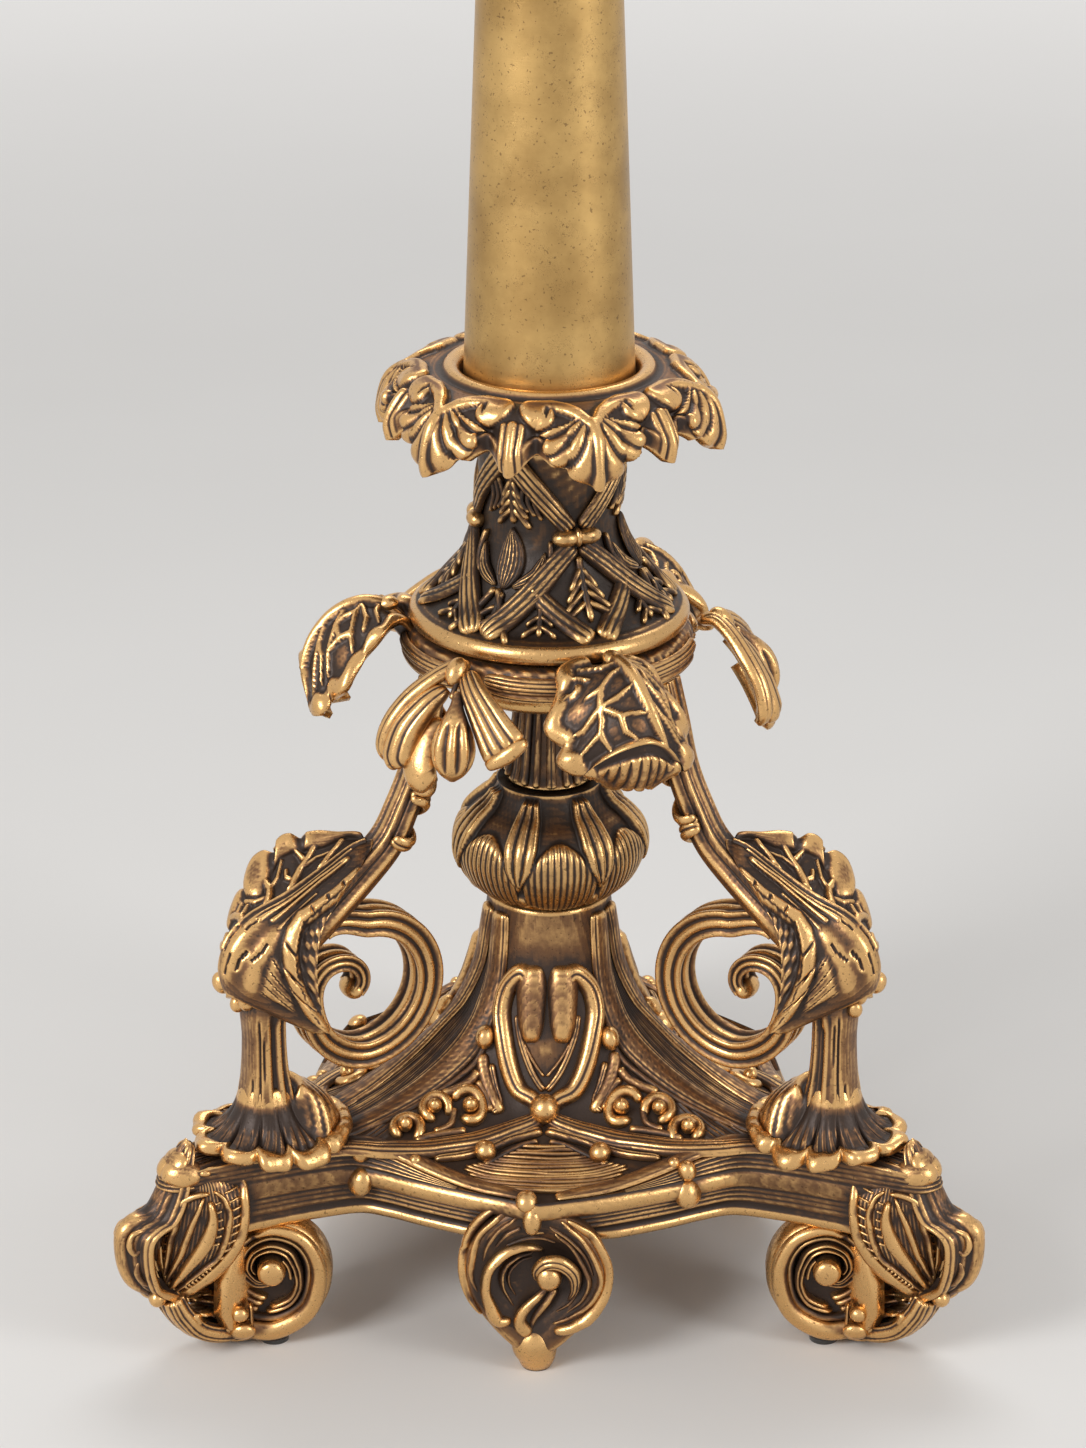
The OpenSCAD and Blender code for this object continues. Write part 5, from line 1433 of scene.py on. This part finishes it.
def volute_form():
    """Drum with a rounded rim and a sunk face, and the band's lines on it. Every line is a row of (direction,
    reach, half width, height), and all of them run together into the button."""
    edge = np.array(round_volute(curve([[-50, 44], [-25, 42.5], [0, 41], [45, 33.5], [90, 28.5], [135, 26.4],
                                        [180, 24.6], [225, 22], [270, 19], [300, 17.5]], 90)))
    edge = np.concatenate([edge, [[-152.5, 58], [-158, 60], [-165, 54], [-171, 40], [-172, 24]]])
    centre = np.array([VOLUTE_Y, VOLUTE_Z], float)
    rings = []
    for x, inset, wide in ((80, 1, 1), (81, 0, 1), (88, 0, 1), (91.5, 0.8, 1), (93.6, 2.4, 1),
                           (94.4, 4.4, 1), (93.6, 7, 1), (90.5, 9.5, 1), (88.5, 12, 1), (88, 12, 0.4),
                           (88, 12, 0.1)):
        out = edge - centre
        q = np.linalg.norm(out, axis=1, keepdims=True)
        flat = centre + out / q * np.maximum(q - inset, 6.5) * wide
        # the rim sinks to the face behind the leaf
        facing = np.degrees(np.arctan2(out[:, 1], out[:, 0])) % 360
        rings.append(np.column_stack([x - max(x - 87.5, 0) * ramp(92, 108, facing) * ramp(238, 222, facing),
                                      flat]))
    shells = [shell(np.array(rings))]
    lines = [([(-181.5, 27, 3.4, 3), (-177.5, 19.5, 4.2, 3.6), (-170, 13.6, 4.8, 4), (-160, 9.4, 4.8, 4)],
              [(-20, 36.6, 4.9, 4), (0, 35.2, 5, 4), (25, 31.2, 4.6, 4), (50, 26.8, 4.2, 4),
               (90, 22.6, 3.8, 3.8), (135, 21.4, 3.2, 3.8), (180, 20.4, 2.8, 3.8), (225, 18.6, 2.2, 3.4),
               (270, 16.4, 1.7, 3.2), (315, 13.8, 1.4, 2.8), (350, 10.4, 1.1, 2.4), (372, 7.4, 0.8, 2)]),
             ([(-178, 25.5, 1.6, 2.2), (-168, 22, 1.8, 2.4), (-157, 19, 1.8, 2.4)],
              [(-12, 29.2, 1.8, 2.4), (10, 27.6, 1.9, 2.6), (40, 23.2, 1.8, 2.6), (90, 17.6, 1.8, 3),
               (135, 16.6, 1.6, 3.2), (180, 15.7, 1.6, 3.2), (225, 14.9, 1.6, 3.2), (270, 14, 1.4, 3),
               (315, 11.8, 1.3, 2.8), (345, 9.4, 1.1, 2.4), (362, 7.4, 1, 2)]),
             ([], [(-8, 25.8, 1.4, 3.4), (20, 22.4, 1.4, 3.4), (45, 18.4, 1.4, 3.6), (70, 14.6, 1.4, 4),
                   (95, 12.6, 1.4, 4.4), (135, 12.4, 1.4, 4.6), (180, 12.5, 1.4, 5), (225, 12.2, 1.3, 5),
                   (270, 11.7, 1.3, 4.6), (310, 10, 1.1, 4.4), (335, 8.2, 1, 4)]),
             ([], [(-4, 22.8, 1.4, 3.6), (25, 19.4, 1.4, 3.8), (50, 15.4, 1.4, 4), (75, 11.8, 1.4, 4.6),
                   (100, 10.2, 1.3, 5), (140, 10, 1.3, 5.2), (180, 10, 1.4, 5.4), (225, 10.2, 1.3, 5.4),
                   (265, 9.8, 1.1, 5), (300, 8.4, 1, 4.6)]),
             ([], [(58, 10.8, 1.3, 5), (80, 8.8, 1.3, 5.6), (105, 7.9, 1.3, 6), (135, 7.6, 1, 6)]),]
    for start, rows in lines:
        c = curve([list(q) for q in start] + round_volute(rows), 84)
        path = np.column_stack([np.full(len(c), 91.6), c[:, :2]])
        path[:, 0] += np.where(c[:, 2] > 2.5, 1.6, 0)
        shells.append(strand(path, (1, 0, 0), c[:, 2], c[:, 3], 1, under=3.4, ends=0.06, fine=6))
    shells.append(lathe_x([[0.4, 103.2], [3.6, 103], [5.6, 102.2], [6.5, 100.8], [6.9, 98.4], [7, 92],
                           [8.6, 88]], 40, VOLUTE_Y, VOLUTE_Z))
    return shells


# %% Flank with its ribbed leaf
PAD_Z = [30, 34, 39, 46, 56, 65, 76, 87, 96, 101, 106]
PAD_MIDDLE = [-182.5, -181.5, -177, -174, -170.5, -168, -166, -165, -165.5, -167, -168]


def on_pad(y, z):
    """Chart of the leaf beside the corner, counted in its flank's y and z: the leaf falls away from its
    middle line by a power of the share t of its half width."""
    y, z = np.broadcast_arrays(np.asarray(y, float), np.asarray(z, float))

    def x(y, z):
        mid = np.interp(z, PAD_Z, PAD_MIDDLE)
        half = np.interp(z, PAD_Z, [1.5, 4.5, 10, 16, 20.8, 22.4, 22.6, 20.4, 16, 12, 6])
        top = np.interp(z, PAD_Z, [102, 105.5, 109, 112, 114, 115, 115, 113.5, 110, 107, 103])
        return top - 9.5 * np.minimum(np.abs(y - mid) / half, 1.25) ** 2.4
    P = np.stack([x(y, z), y, z], -1)
    N = unit(np.stack([0 * y + 1, x(y - 0.5, z) - x(y + 0.5, z), x(y, z - 0.5) - x(y, z + 0.5)], -1))
    return P, N


def ribbed_pad():
    """The leaf's ground is a sheet in the chart, its ribs are straps that run together at the point, and the
    hollows between them are pleated by short cross bars."""
    z = np.linspace(104.5, 31.5, 64)[:, None]
    mid = np.interp(z, PAD_Z, PAD_MIDDLE)
    half = np.interp(z, PAD_Z, [1.5, 4, 9.6, 15.4, 20.2, 21.8, 22, 19.8, 15.4, 11, 5])
    t = np.linspace(-1, 1, 48)[None, :]
    P, N = on_pad(mid + t * half, z + 0 * t)
    low = P - N * (2.5 + 3 * (1 - np.abs(t))[..., None] * 1.6)
    grain = 0.28 * np.sin(t * 70 + 3 * np.sin(z * 0.11))
    shells = [shell(np.concatenate([P + N * grain[..., None], low[:, ::-1]], 1))]

    def rib(points, widths, height):
        return strap_on(on_pad, points, even(48, widths), height, 1, 48, under=2, fine=5, ends=0.1)

    shells += [rib([[-151.5, 98.8], [-146.9, 92.4], [-145.6, 85], [-145.8, 77], [-147.6, 68], [-152, 59.4],
                    [-158.6, 50.6], [-167, 42.8], [-174.5, 37.8], [-181, 35]],
                   [1.4, 2.1, 2.4, 2.6, 3, 3.7, 4.8, 4.8, 3, 1.5], 3.2),
               rib([[-159.4, 93.6], [-155.1, 89.5], [-152.6, 83], [-153, 76], [-155.3, 66.6], [-159.4, 58.6],
                    [-165.6, 53.4], [-172.2, 47.2], [-178.4, 40.6], [-181.8, 36.4]],
                   [1, 1.5, 1.7, 1.7, 1.6, 1.4, 1.1, 0.9, 0.9, 0.8], 2.6),
               rib([[-161.4, 89.5], [-160, 83.4], [-160.4, 77.2], [-163.3, 68.9], [-167.6, 61.8],
                    [-172.8, 54.7], [-177, 48.4], [-181.2, 41.6], [-182.6, 37.6]],
                   [1.6, 2.4, 3.1, 3.9, 3.5, 2.9, 2.2, 1.6, 1.1], 3.6),
               rib([[-164, 91.2], [-166.8, 84.2], [-169.5, 78.3], [-172.2, 71.3], [-175.6, 61.8],
                    [-178.9, 54.7], [-182.2, 46.4], [-183, 40]], [1, 1.6, 1.9, 2.1, 2, 1.7, 1.3, 1], 3),
               rib([[-161.2, 92.6], [-166, 92.2], [-171, 90.4], [-174.9, 87.1], [-177, 82.6], [-177.9, 76],
                    [-179.8, 70.1], [-181.3, 61.8], [-182.9, 52.4], [-184, 43.6]],
                   [1, 1.7, 2, 2.1, 2, 2.3, 1.9, 1.7, 1.4, 0.9], 3),
               rib([[-168, 95.4], [-173, 94.4], [-178.2, 91.6], [-181.4, 86], [-183.6, 78.3], [-185.2, 68.9],
                    [-185.9, 59.4], [-185.8, 50.6], [-185, 43.6]],
                   [0.8, 1.2, 1.4, 1.3, 1.2, 1.2, 1.2, 1.1, 0.8], 2.4),
               rib([[-182.8, 90], [-185.4, 85.2], [-187.4, 79], [-188.8, 71], [-189, 62], [-188, 53],
                    [-186.4, 45.6]], [0.8, 1, 1.1, 1.1, 1, 0.9, 0.7], 2.2)]
    # pleats: bars across the hollows, between a place on one rib and a place on the next
    bars = []
    for k in range(9):
        z_ = 92 - 4.2 * k
        bars.append([[np.interp(z_, [58, 66, 76, 84, 92], [-158, -154.4, -151.4, -151.2, -154.5]), z_ - 0.4],
                     [np.interp(z_, [58, 66, 76, 84, 92], [-154, -149.6, -147.2, -147, -148.4]), z_ + 0.6]])
    for k in range(6):
        z_ = 88 - 4.2 * k
        bars.append([[np.interp(z_, [66, 76, 88], [-162.2, -158.6, -159]), z_ - 0.4],
                     [np.interp(z_, [66, 76, 88], [-157.2, -154.6, -156.2]), z_ + 0.4]])
    for k in range(8):
        u = k / 7
        bars.append([[mix(-163, -175, u), mix(53.4, 42.6, u)], [mix(-160.6, -172.6, u), mix(50.4, 40.2, u)]])
    for k in range(7):
        u = k / 6
        bars.append([[mix(-178.5, -183.2, u), mix(84, 58, u)], [mix(-181.4, -184.8, u), mix(83, 57, u)]])
    shells += [strap_on(on_pad, b, 0.75, 1.2, 1, 6, under=1, fine=3) for b in bars]
    return shells


def flank_form():
    """One flank's own forms over its volute: the band under the corner, its clasp, the leaf and the egg."""
    shells = []
    # the volute's outer turns run on behind the leaf, and the band has its own thickness under the corner
    for reach, first, last in ((18.5, 140, 262), (22, 150, 258), (25.5, 208, 254), (29, 218, 252),
                               (32.5, 225, 250)):
        b = np.radians(np.linspace(first, last, 41))
        turns = np.column_stack([90.5 + 0 * b, VOLUTE_Y + reach * np.cos(b), VOLUTE_Z + reach * np.sin(b)])
        shells.append(strand(turns, (1, 0, 0), 1.7, 3, 1, under=9, ends=0.1, fine=5))
    strap = curve([[86, -140, 8.2], [89, -152, 7.4], [92, -166, 10.6], [97, -177, 17.6], [100, -184, 28],
                   [101, -187, 36]], 60)
    wide = graded(60, [0, 0.2, 0.7, 1], [6, 8.6, 8.6, 5])
    shells.append(stout(strap, (0, -0.3, -1), wide, 5.2, 3, lambda u, f: 0.4 * np.cos(np.radians(f * 12))
                        - 0.2, 44))
    for rows, w, h in (([[100.5, -182.6, 29.5], [101.5, -177.6, 25.2], [101, -167.2, 22.4],
                         [98.5, -158, 18.6]], 1.3, 2.2),
                       ([[101, -184, 26], [102, -179.6, 21.5], [101.5, -169.5, 17.4], [99, -159.4, 14.4]],
                        1.2, 2.2), ([[99, -176, 31], [99, -170.2, 28.6], [97.5, -161, 26.4],
                                     [95.5, -152.4, 25.2]], 1.1, 2),
                       ([[100.5, -180, 33.5], [99.6, -172, 31.4], [96.5, -163, 30.4]], 0.9, 1.6)):
        shells.append(strand(curve(rows, 40), (1, 0, 0), w, h, 1, under=4, ends=0.1, fine=5))
    # clasp on the band: a bead over a block with a cut beside it
    shells += [ball((102.4, -149.6, 22), (1, 0, 0), (0, 1, 0), (4.6, 4, 3.8), 16, 22),
               ball((100.6, -148.6, 11.6), (1, 0, -0.7), (0, 1, 0.25), (6.6, 5.2, 3.9), 16, 24),
               ball((98.6, -155.6, 12), (1, 0, -0.5), (0, 1, 0.35), (4.2, 4.4, 3.6), 12, 18),
               strand(curve([[97, -144.4, 25], [98.4, -144.2, 17], [97, -143.8, 9]], 12), (1, 0, 0), 1, 2.4,
                      1, under=3)]
    # egg over the leaf with its small nib, and the ribbed leaf itself
    shells += ([ball((105.6, -174.2, 100.3), (0.7, 0.1, 1), (0, 1, 0.06), (10.6, 7.6, 7.2), 26, 36),
                ball((108.4, -163.6, 102), (0.8, 0, 1), (0, 1, 0.1), (3, 1.6, 1.8), 10, 14)] + ribbed_pad())
    # fine lines running up the flank beside the leaf
    for k, (y, low, high) in enumerate(((-190.6, 49, 83), (-192.6, 46, 82), (-194.8, 50, 79),
                                        (-197.2, 56, 74))):
        c = curve([[109.4 - 0.7 * k, y + 1.2, high], [112.2 - 0.7 * k, y - 0.8, mix(low, high, 0.66)],
                   [112.4 - 0.7 * k, y - 0.6, mix(low, high, 0.33)], [109.6 - 0.6 * k, y + 1, low]], 30)
        shells.append(strand(c, (1, -0.35, 0), 0.85, 1.9, 1, under=4, fine=4))
    shells.append(ball((106.5, -190, 38.5), (1, -0.4, 0), (0, 1, 0.1), (8.4, 5.4, 5), 18, 26))
    return shells


# %% Corner feet
def corner_foot_form():
    """A full core, the two flanks and the leaf round the corner: a sheet whose edges fall by a power of t."""
    core = stout(np.array([[166, 0, z] for z in (16, 20, 32, 50, 70, 90, 99, 101)]), (1, 0, 0),
                 [2.4, 3.2, 3.8, 4.2, 4.6, 6, 6, 5], [8, 12, 18, 23, 25, 28, 27, 24], 2.6, None, 72)
    shells = [core] + both(volute_form() + flank_form())
    # outer leaf of the corner: fine lengthwise lines at both sides of a broad hooked crest
    n, m = 96, 58
    rows = rows_at([[202, 116.5, 3], [208, 110, 7], [213, 103, 9.5], [218, 93.5, 11.5], [224.5, 83, 12.5],
                    [232, 79.6, 13], [236.6, 76, 13], [238, 69, 13], [236.8, 57, 12.5], [232.6, 47.5, 11],
                    [224, 41, 9], [214, 36, 6]], np.linspace(0, 11, n))
    u, t = np.linspace(0, 1, n)[:, None], np.linspace(-1, 1, m)[None, :]
    P = np.stack([rows[:, :1] - 2.6 - 11 * np.abs(t) ** 1.9 * np.clip(rows[:, 2:3] / 12, 0.2, 1),
                  t * rows[:, 2:3], rows[:, 1:2] - 3.5 * np.abs(t) ** 2], -1)
    h = ((0.9 * np.abs(np.sin(t * np.pi * 4.5)) ** 0.7 - 0.4) * ramp(0.3, 0.5, np.abs(t))
         + 1.4 * ridge((1 - np.abs(t)) * rows[:, 2:3] - 1.2, 1.6, 1))
    crest = ramp(0.3, 0.44, u) * ramp(0.98, 0.88, u)
    h = np.maximum(h, ridge(np.abs(t) * rows[:, 2:3], 4.6, 3.4) * crest - 0.2)
    shells.append(leaf(P, np.interp(u, [0, 0.25, 0.5, 1], [4, 6, 10, 7]) + 0 * t, h * ramp(0, 0.06, u)))
    for s in (-1, 1):
        shells.append(fat([[226, s * 7, 77.5], [231.5, s * 6.4, 76], [233.6, s * 6.8, 71],
                           [231.6, s * 7.6, 66.6], [228.6, s * 8.4, 68.4]], [1, 1.6, 1.8, 1.5, 0.9],
                          [1.4, 2, 2.2, 1.8, 1], (1, s * 0.9, 0), 1, 30))
        shells.append(fat([[229.6, s * 7.4, 62], [230.6, s * 7.2, 56], [227.6, s * 7.2, 50],
                           [222, s * 6.8, 46]], [1, 1.7, 1.6, 0.9], [1.4, 2, 1.8, 1], (1, s * 0.9, 0), 1,
                          30))
    shells.append(ball((205, 0, 105.5), (1, 0, 1), (0, 1, 0), (8.5, 7, 4.2), 18, 26))
    return shells


for k, az in enumerate(CORNERS):
    piece(f"corner_foot_{k + 1}_cast", corner_foot_form(), f"corner_foot_{k + 1}", BRIGHT,
          turned=az)

# %% [markdown]
# ## Side feet
#
# A round cartouche under the middle of each side, drawn to a point on a ball. Ridges sweep round both sides
# of it, a curled leaf with a round head crosses the hollow middle, and a clasp of two beads hangs over its
# top. The chart (y, z) counts mm on its face.

# %% Side feet
def side_foot_form():
    """Face turned about its middle and drawn to a point below, then the lines and beads laid on it, and a
    ball with a flat sole under it."""
    c0 = 54                                       # height of the face's middle
    f = np.radians(np.arange(96) * 3.75)[None, :]
    low = np.maximum(0, -np.sin(f)) ** 3
    ring = lambda r: (r * np.cos(f) * (1 - 0.25 * low), r * np.sin(f) - 12 * low * r / 35)
    face = curve([[0.4, 112.6], [8, 113.2], [15, 115.4], [21, 118.4], [27, 120.6], [31, 121], [33.6, 119.6],
                  [34.8, 117], [35, 114], [34.4, 111.2], [32.6, 109.4], [28.4, 108.8], [28, 103], [27, 96],
                  [24, 94.4], [0.4, 94]], 90)
    y, z = ring(face[:, :1])
    z = np.where(face[:, 1:] < 109, np.minimum(z, 33), z)
    shells = [shell(np.stack([face[:, 1:] + 0 * f, y, z + c0], -1))]

    def on_face(y, z):
        y, z = np.asarray(y, float), np.asarray(z, float)
        fx = lambda y, z: np.interp(np.hypot(y, (z - c0) * np.where(z < c0, 0.86, 1)),
                                    [0, 8, 15, 21, 27, 31, 33.6, 35.4],
                                    [112.6, 113.2, 115.4, 118.4, 120.6, 121, 119.6, 116])
        P = np.stack([fx(y, z), y, z], -1)
        N = unit(np.stack([0 * y + 1, (fx(y - 0.5, z) - fx(y + 0.5, z)), (fx(y, z - 0.5) - fx(y, z + 0.5))],
                          -1))
        return P, N

    def line(points, width, height, count=1, steps=48, **more):
        """Strap on the face, with its half width and height given at even spaces along it."""
        w, h = even(steps, width), even(steps, height)
        return strap_on(on_face, points, w, h, count, steps, under=3, **more)

    shells += [
        # ridges of the left half, outermost first
        line([[-10, 91], [-20, 86.5], [-28, 79], [-33, 69], [-34.2, 54], [-31.5, 41], [-26, 31.5]],
             [1.8, 2.3, 2.3, 0.9], [2.4, 3, 3, 1.2]),
        line([[-8.6, 89], [-18.5, 82], [-26.5, 73.5], [-30, 61], [-30.4, 52], [-27.6, 44]],
             [1.2, 1.7, 1.7, 0.5], [1.8, 2.4, 2.4, 0.8]),
        line([[-8, 85], [-17, 78], [-23, 68.5], [-25, 60.5]], [0.9, 1.1, 0.5], [1.6, 2, 0.8]),
        line([[-6.8, 79.4], [-13.8, 75.4], [-19, 68]], [0.8, 1, 0.5], [1.4, 1.8, 0.8]),
        line([[-14, 68], [-4.5, 71.9], [3, 72.5], [9.6, 70]], [0.6, 0.8, 0.5], [1, 1.3, 0.8]),
        # the big C and its two inner companions
        line([[3.5, 63.9], [-4.5, 66.6], [-14, 64.5], [-22, 56.6], [-24, 46], [-22, 37.5], [-17.8, 29],
              [-11.6, 28.3]], [1.2, 2.3, 2.5, 2.6, 3.6, 2.4], [2.2, 4, 4.4, 4.6, 4.8, 3]),
        line([[-1.4, 62.6], [-9.2, 60.6], [-15.9, 54], [-16, 44.8], [-10.6, 35]], [0.7, 1.2, 1.2, 0.6],
             [1.6, 3, 3, 1.2]),
        line([[-2, 59.4], [-8, 57.6], [-12.8, 52], [-12.8, 45.6], [-9.6, 39.6]], [0.6, 0.9, 0.9, 0.5],
             [1.2, 1.8, 1.8, 0.8]),
        # ridges of the right half
        line([[15, 83.6], [26.5, 75], [33.4, 60.8], [33.6, 47.8], [28.6, 35.6], [19, 26.8], [9, 23.4]],
             [1.3, 2.3, 2.6, 3.3, 2.6], [2.2, 3, 3.4, 4.2, 3.2]),
        line([[12, 83.6], [22.4, 74], [29.6, 60.6], [30.9, 50], [26.8, 40], [17.6, 31.6], [8.6, 27]],
             [0.9, 1.6, 1.5, 0.9], [1.8, 2.6, 2.4, 1.2]),
        line([[9.4, 76], [17.4, 69.3], [23.6, 58.2], [26, 50], [22.6, 40.6], [15, 33]], [0.8, 1.4, 1.3, 0.6],
             [1.4, 2.4, 2.4, 0.9]),
        line([[6.8, 80.4], [16.2, 73.8], [24.2, 64.4], [27.8, 54]], [0.6, 1, 0.5], [1.2, 1.8, 0.8]),
        line([[20, 43], [16, 37.4], [10, 33]], [0.6, 0.9, 0.5], [1, 1.5, 0.8], steps=24),
    ]
    shells += [
        # curled leaf: its round head, the tail going over it and down, and the double stem ending on the ball
        ball((121, 6.6, 53.2), (1, 0, 0), (0, 1, 0), (6.4, 6.8, 5.8), 18, 28),
        fat([[118, 1.6, 50], [120.5, 1.4, 56.5], [122, 5.6, 61.4], [122.4, 12.4, 61.6], [121.6, 18.4, 55.6],
             [120, 19, 46.5], [118, 15.6, 38.6]],
            [2.6, 3.2, 3.8, 4, 3.6, 2.4, 0.9], [2.6, 3.4, 4, 4, 3.4, 2.4, 1], (1, 0, 0), 3, 60, 0.3),
        fat([[117, 5.6, 45.4], [118.6, 1.4, 41], [119.4, -4, 35.6], [119.6, -7.2, 30], [119, -6.6, 25],
             [117.6, -3.4, 20.6]],
            [1, 1.9, 2.5, 3, 3.8, 4], [1.4, 2.2, 2.8, 3.2, 3.8, 3.8], (1, 0, 0), 1, 44, ends=0.1),
        fat([[117, 9.6, 45], [118.2, 5.8, 38.6], [118.4, 1.2, 32], [118.4, -1.2, 27], [117.8, -2, 22.4]],
            [1.6, 1.9, 1.7, 1.3, 0.8], [2, 2.4, 2.2, 1.8, 1.2], (1, 0, 0), 1, 36, ends=0.1),
        ball((113.6, -1, 12.6), (0, 0, 1), (0, 1, 0), (10.8, 9.6, 11.6), 26, 36),
        # clasp over the rim
        ball((120.2, -4.2, 93.4), (0.8, 0, 1), (0, 1, 0), (5.2, 5.6, 4), 16, 24),
        ball((122.4, -1.3, 84.6), (1, 0, 0.25), (0, 1, 0), (4.7, 7.4, 4.8), 18, 26),
    ]
    foot = np.array([[0.4, 0.2], [6.6, 0.2], [7.6, 0.8], [9.2, 4.5], [10, 9], [9.4, 13], [6, 16], [0.4, 17]])
    f2 = np.linspace(0, 2 * np.pi, 49)[:-1]
    shells.append(shell(np.stack([112 + foot[:, None, 0] * np.cos(f2), foot[:, None, 0] * np.sin(f2),
                                  foot[:, None, 1] + 0 * f2], -1)))
    return shells


for k, side in enumerate(SIDES):
    piece(f"cartouche_foot_{k + 1}", side_foot_form(), f"side_foot_{k + 1}", BRIGHT,
          turned=side + SWING)

# %% [markdown]
# ## How proud is each point?
#
# A cloth rubs what stands out. Each mesh is smoothed a little and a lot, as a copy, and a point's height over
# its smoothed place tells a ridge from a groove. Where ornament lies close to its ground, stain also gathers
# and shade falls, so a coarse grid of small cells is filled wherever there is surface, blurred, and read a
# little way out from each point: a full neighbourhood means a tucked-in corner, darkened as stain and as
# painted shade.

# %% Wear and painted crevice shade on every mesh
CELL = 0.002


def mesh_arrays(ob):
    """Points, outward normals and edges of a mesh, as arrays."""
    me = ob.data
    V, N = np.empty(len(me.vertices) * 3, np.float32), np.empty(len(me.vertices) * 3, np.float32)
    E = np.empty(len(me.edges) * 2, np.int32)
    me.vertices.foreach_get("co", V)
    me.vertex_normals.foreach_get("vector", N)
    me.edges.foreach_get("vertices", E)
    return V.reshape(-1, 3).astype(float), N.reshape(-1, 3).astype(float), E.reshape(-1, 2)


def proud(V, N, E):
    """Height of each point over its place after smoothing, along its normal, at two sizes, in mm. One
    smoothing step moves a point halfway to the mean of its neighbours."""
    size = np.median(np.linalg.norm(V[E[:, 0]] - V[E[:, 1]], axis=1)) * 1000
    n = len(V)
    count = np.maximum(np.bincount(E.ravel(), minlength=n), 1)[:, None]
    few = int(np.clip((1.0 / size) ** 2 * 2, 2, 14))
    many = int(np.clip((2.6 / size) ** 2 * 2, 8, 60))
    S, found = V.copy(), []
    for step in range(many):
        mean = np.stack([np.bincount(E[:, 0], S[E[:, 1], k], n) + np.bincount(E[:, 1], S[E[:, 0], k], n)
                         for k in range(3)], 1) / count
        S = 0.5 * (S + mean)
        if step + 1 in (few, many):
            found.append(((V - S) * N).sum(1) * 1000)
    return found[0], found[-1]


arrays = {ob.name: mesh_arrays(ob) for ob in MADE}
low = np.min([a[0].min(0) for a in arrays.values()], 0) - 6 * CELL
high = np.max([a[0].max(0) for a in arrays.values()], 0) + 6 * CELL
cells = np.zeros(np.ceil((high - low) / CELL).astype(int) + 1, np.float32)
for V, N, E in arrays.values():
    i = ((V - low) / CELL).astype(int)
    cells[i[:, 0], i[:, 1], i[:, 2]] = 1
for axis in range(3):
    for reach in (1, 2):
        cells = sum(np.roll(cells, k, axis) for k in range(-reach, reach + 1)) / (2 * reach + 1)
for ob in MADE:
    V, N, E = arrays[ob.name]
    fine, broad = proud(V, N, E)
    # how full the blurred grid is just outside each point: near other surfaces this darkens the point, as
    # stain and as painted crevice shade
    i = ((V + N * 0.0035 - low) / CELL).astype(int)
    tucked = cells[i[:, 0], i[:, 1], i[:, 2]]
    # rubbing from the two heights, less the tucked term, which paints crevice shade as well as stain into the
    # number
    wear_and_crevice_shade = (0.47 + np.clip(fine * 2.0, -0.32, 0.32) + np.clip(broad * 0.50, -0.34, 0.36)
            - np.clip((tucked - 0.17) * 1.8, -0.16, 0.42))
    layer = ob.data.attributes.new("wear_and_crevice_shade", "FLOAT", "POINT")
    layer.data.foreach_set("value", np.clip(wear_and_crevice_shade, 0, 1).astype(np.float32))
print("wear on", len(MADE), "pieces in", round(time.time() - START, 1), "s")

# %% [markdown]
# ## Floor, light and the closing sizes
#
# A wide pale floor that brightens to the tone of the room far from the stand, one broad soft lamp on the
# left, a weaker one on the right and a long one above and behind keep the castings readable. Metal also
# mirrors the pale room.

# %% Stage
me = bpy.data.meshes.new("floor")
far_edge = 30                                     # metres
me.from_pydata([(x * far_edge, y * far_edge, 0) for x, y in ((-1, -1), (1, -1), (1, 1), (-1, 1))], [],
               [(0, 1, 2, 3)])
stage = bpy.data.objects.new("floor", me)
bpy.context.scene.collection.objects.link(stage)
floor_paint, where, shader = material("floor paint")
far = where.node("VectorMath", {0: where}, operation="LENGTH", out="Value").step(1.1, 3.6)
rays = where.node("LightPath", out="Is Camera Ray") + where.node("LightPath", out="Is Glossy Ray")
set_shader(shader, Base_Color=noise(where, 3.0, 3.0).blend((0.70, 0.69, 0.675), (0.74, 0.73, 0.715)),
           Roughness=0.75, Emission_Color=(far * rays).blend((0, 0, 0), (0.42, 0.415, 0.41)),
           Emission_Strength=1.0)
me.materials.append(floor_paint)
stage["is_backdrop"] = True

LAMP_AIM = (0, 0, 0.3)                            # metres


def soft_lamp(name, place, size, power):
    """Four-sided lamp of the given size in metres and power in watts, turned to look at the aim point."""
    data = bpy.data.lights.new(name, "AREA")
    data.shape, data.size, data.size_y, data.energy = "RECTANGLE", size[0], size[1], power
    ob = bpy.data.objects.new(name, data)
    ob.location = place
    d = unit(np.array(LAMP_AIM, float) - np.array(place, float))
    ob.rotation_euler = (math.acos(-d[2]), 0, math.atan2(d[0], -d[1]) + math.pi)
    bpy.context.scene.collection.objects.link(ob)


soft_lamp("window_left", (-1.5, -1.5, 1.5), (0.9, 1.1), 34)
soft_lamp("window_right", (1.8, -1.2, 1.2), (0.7, 1.2), 15)
soft_lamp("above_behind", (0.2, 1.2, 2.2), (1.6, 0.8), 16)
world = bpy.data.worlds.new("room")
bpy.context.scene.world = world
world.use_nodes = True
room = world.node_tree.nodes["Background"]
room.inputs[0].default_value = (0.80, 0.79, 0.78, 1)
rays = world.node_tree.nodes.new("ShaderNodeLightPath")
seen = (Value(world.node_tree, rays.outputs["Is Camera Ray"])
        + Value(world.node_tree, rays.outputs["Is Glossy Ray"]))
world.node_tree.links.new((seen * 0.45 + 0.55).socket, room.inputs[1])     # 1 where the room itself is seen
bpy.context.scene.view_settings.view_transform = "Standard"

# %% Sizes
seen_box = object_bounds()
print("visual box:", seen_box, "after", round(time.time() - START, 1), "s")
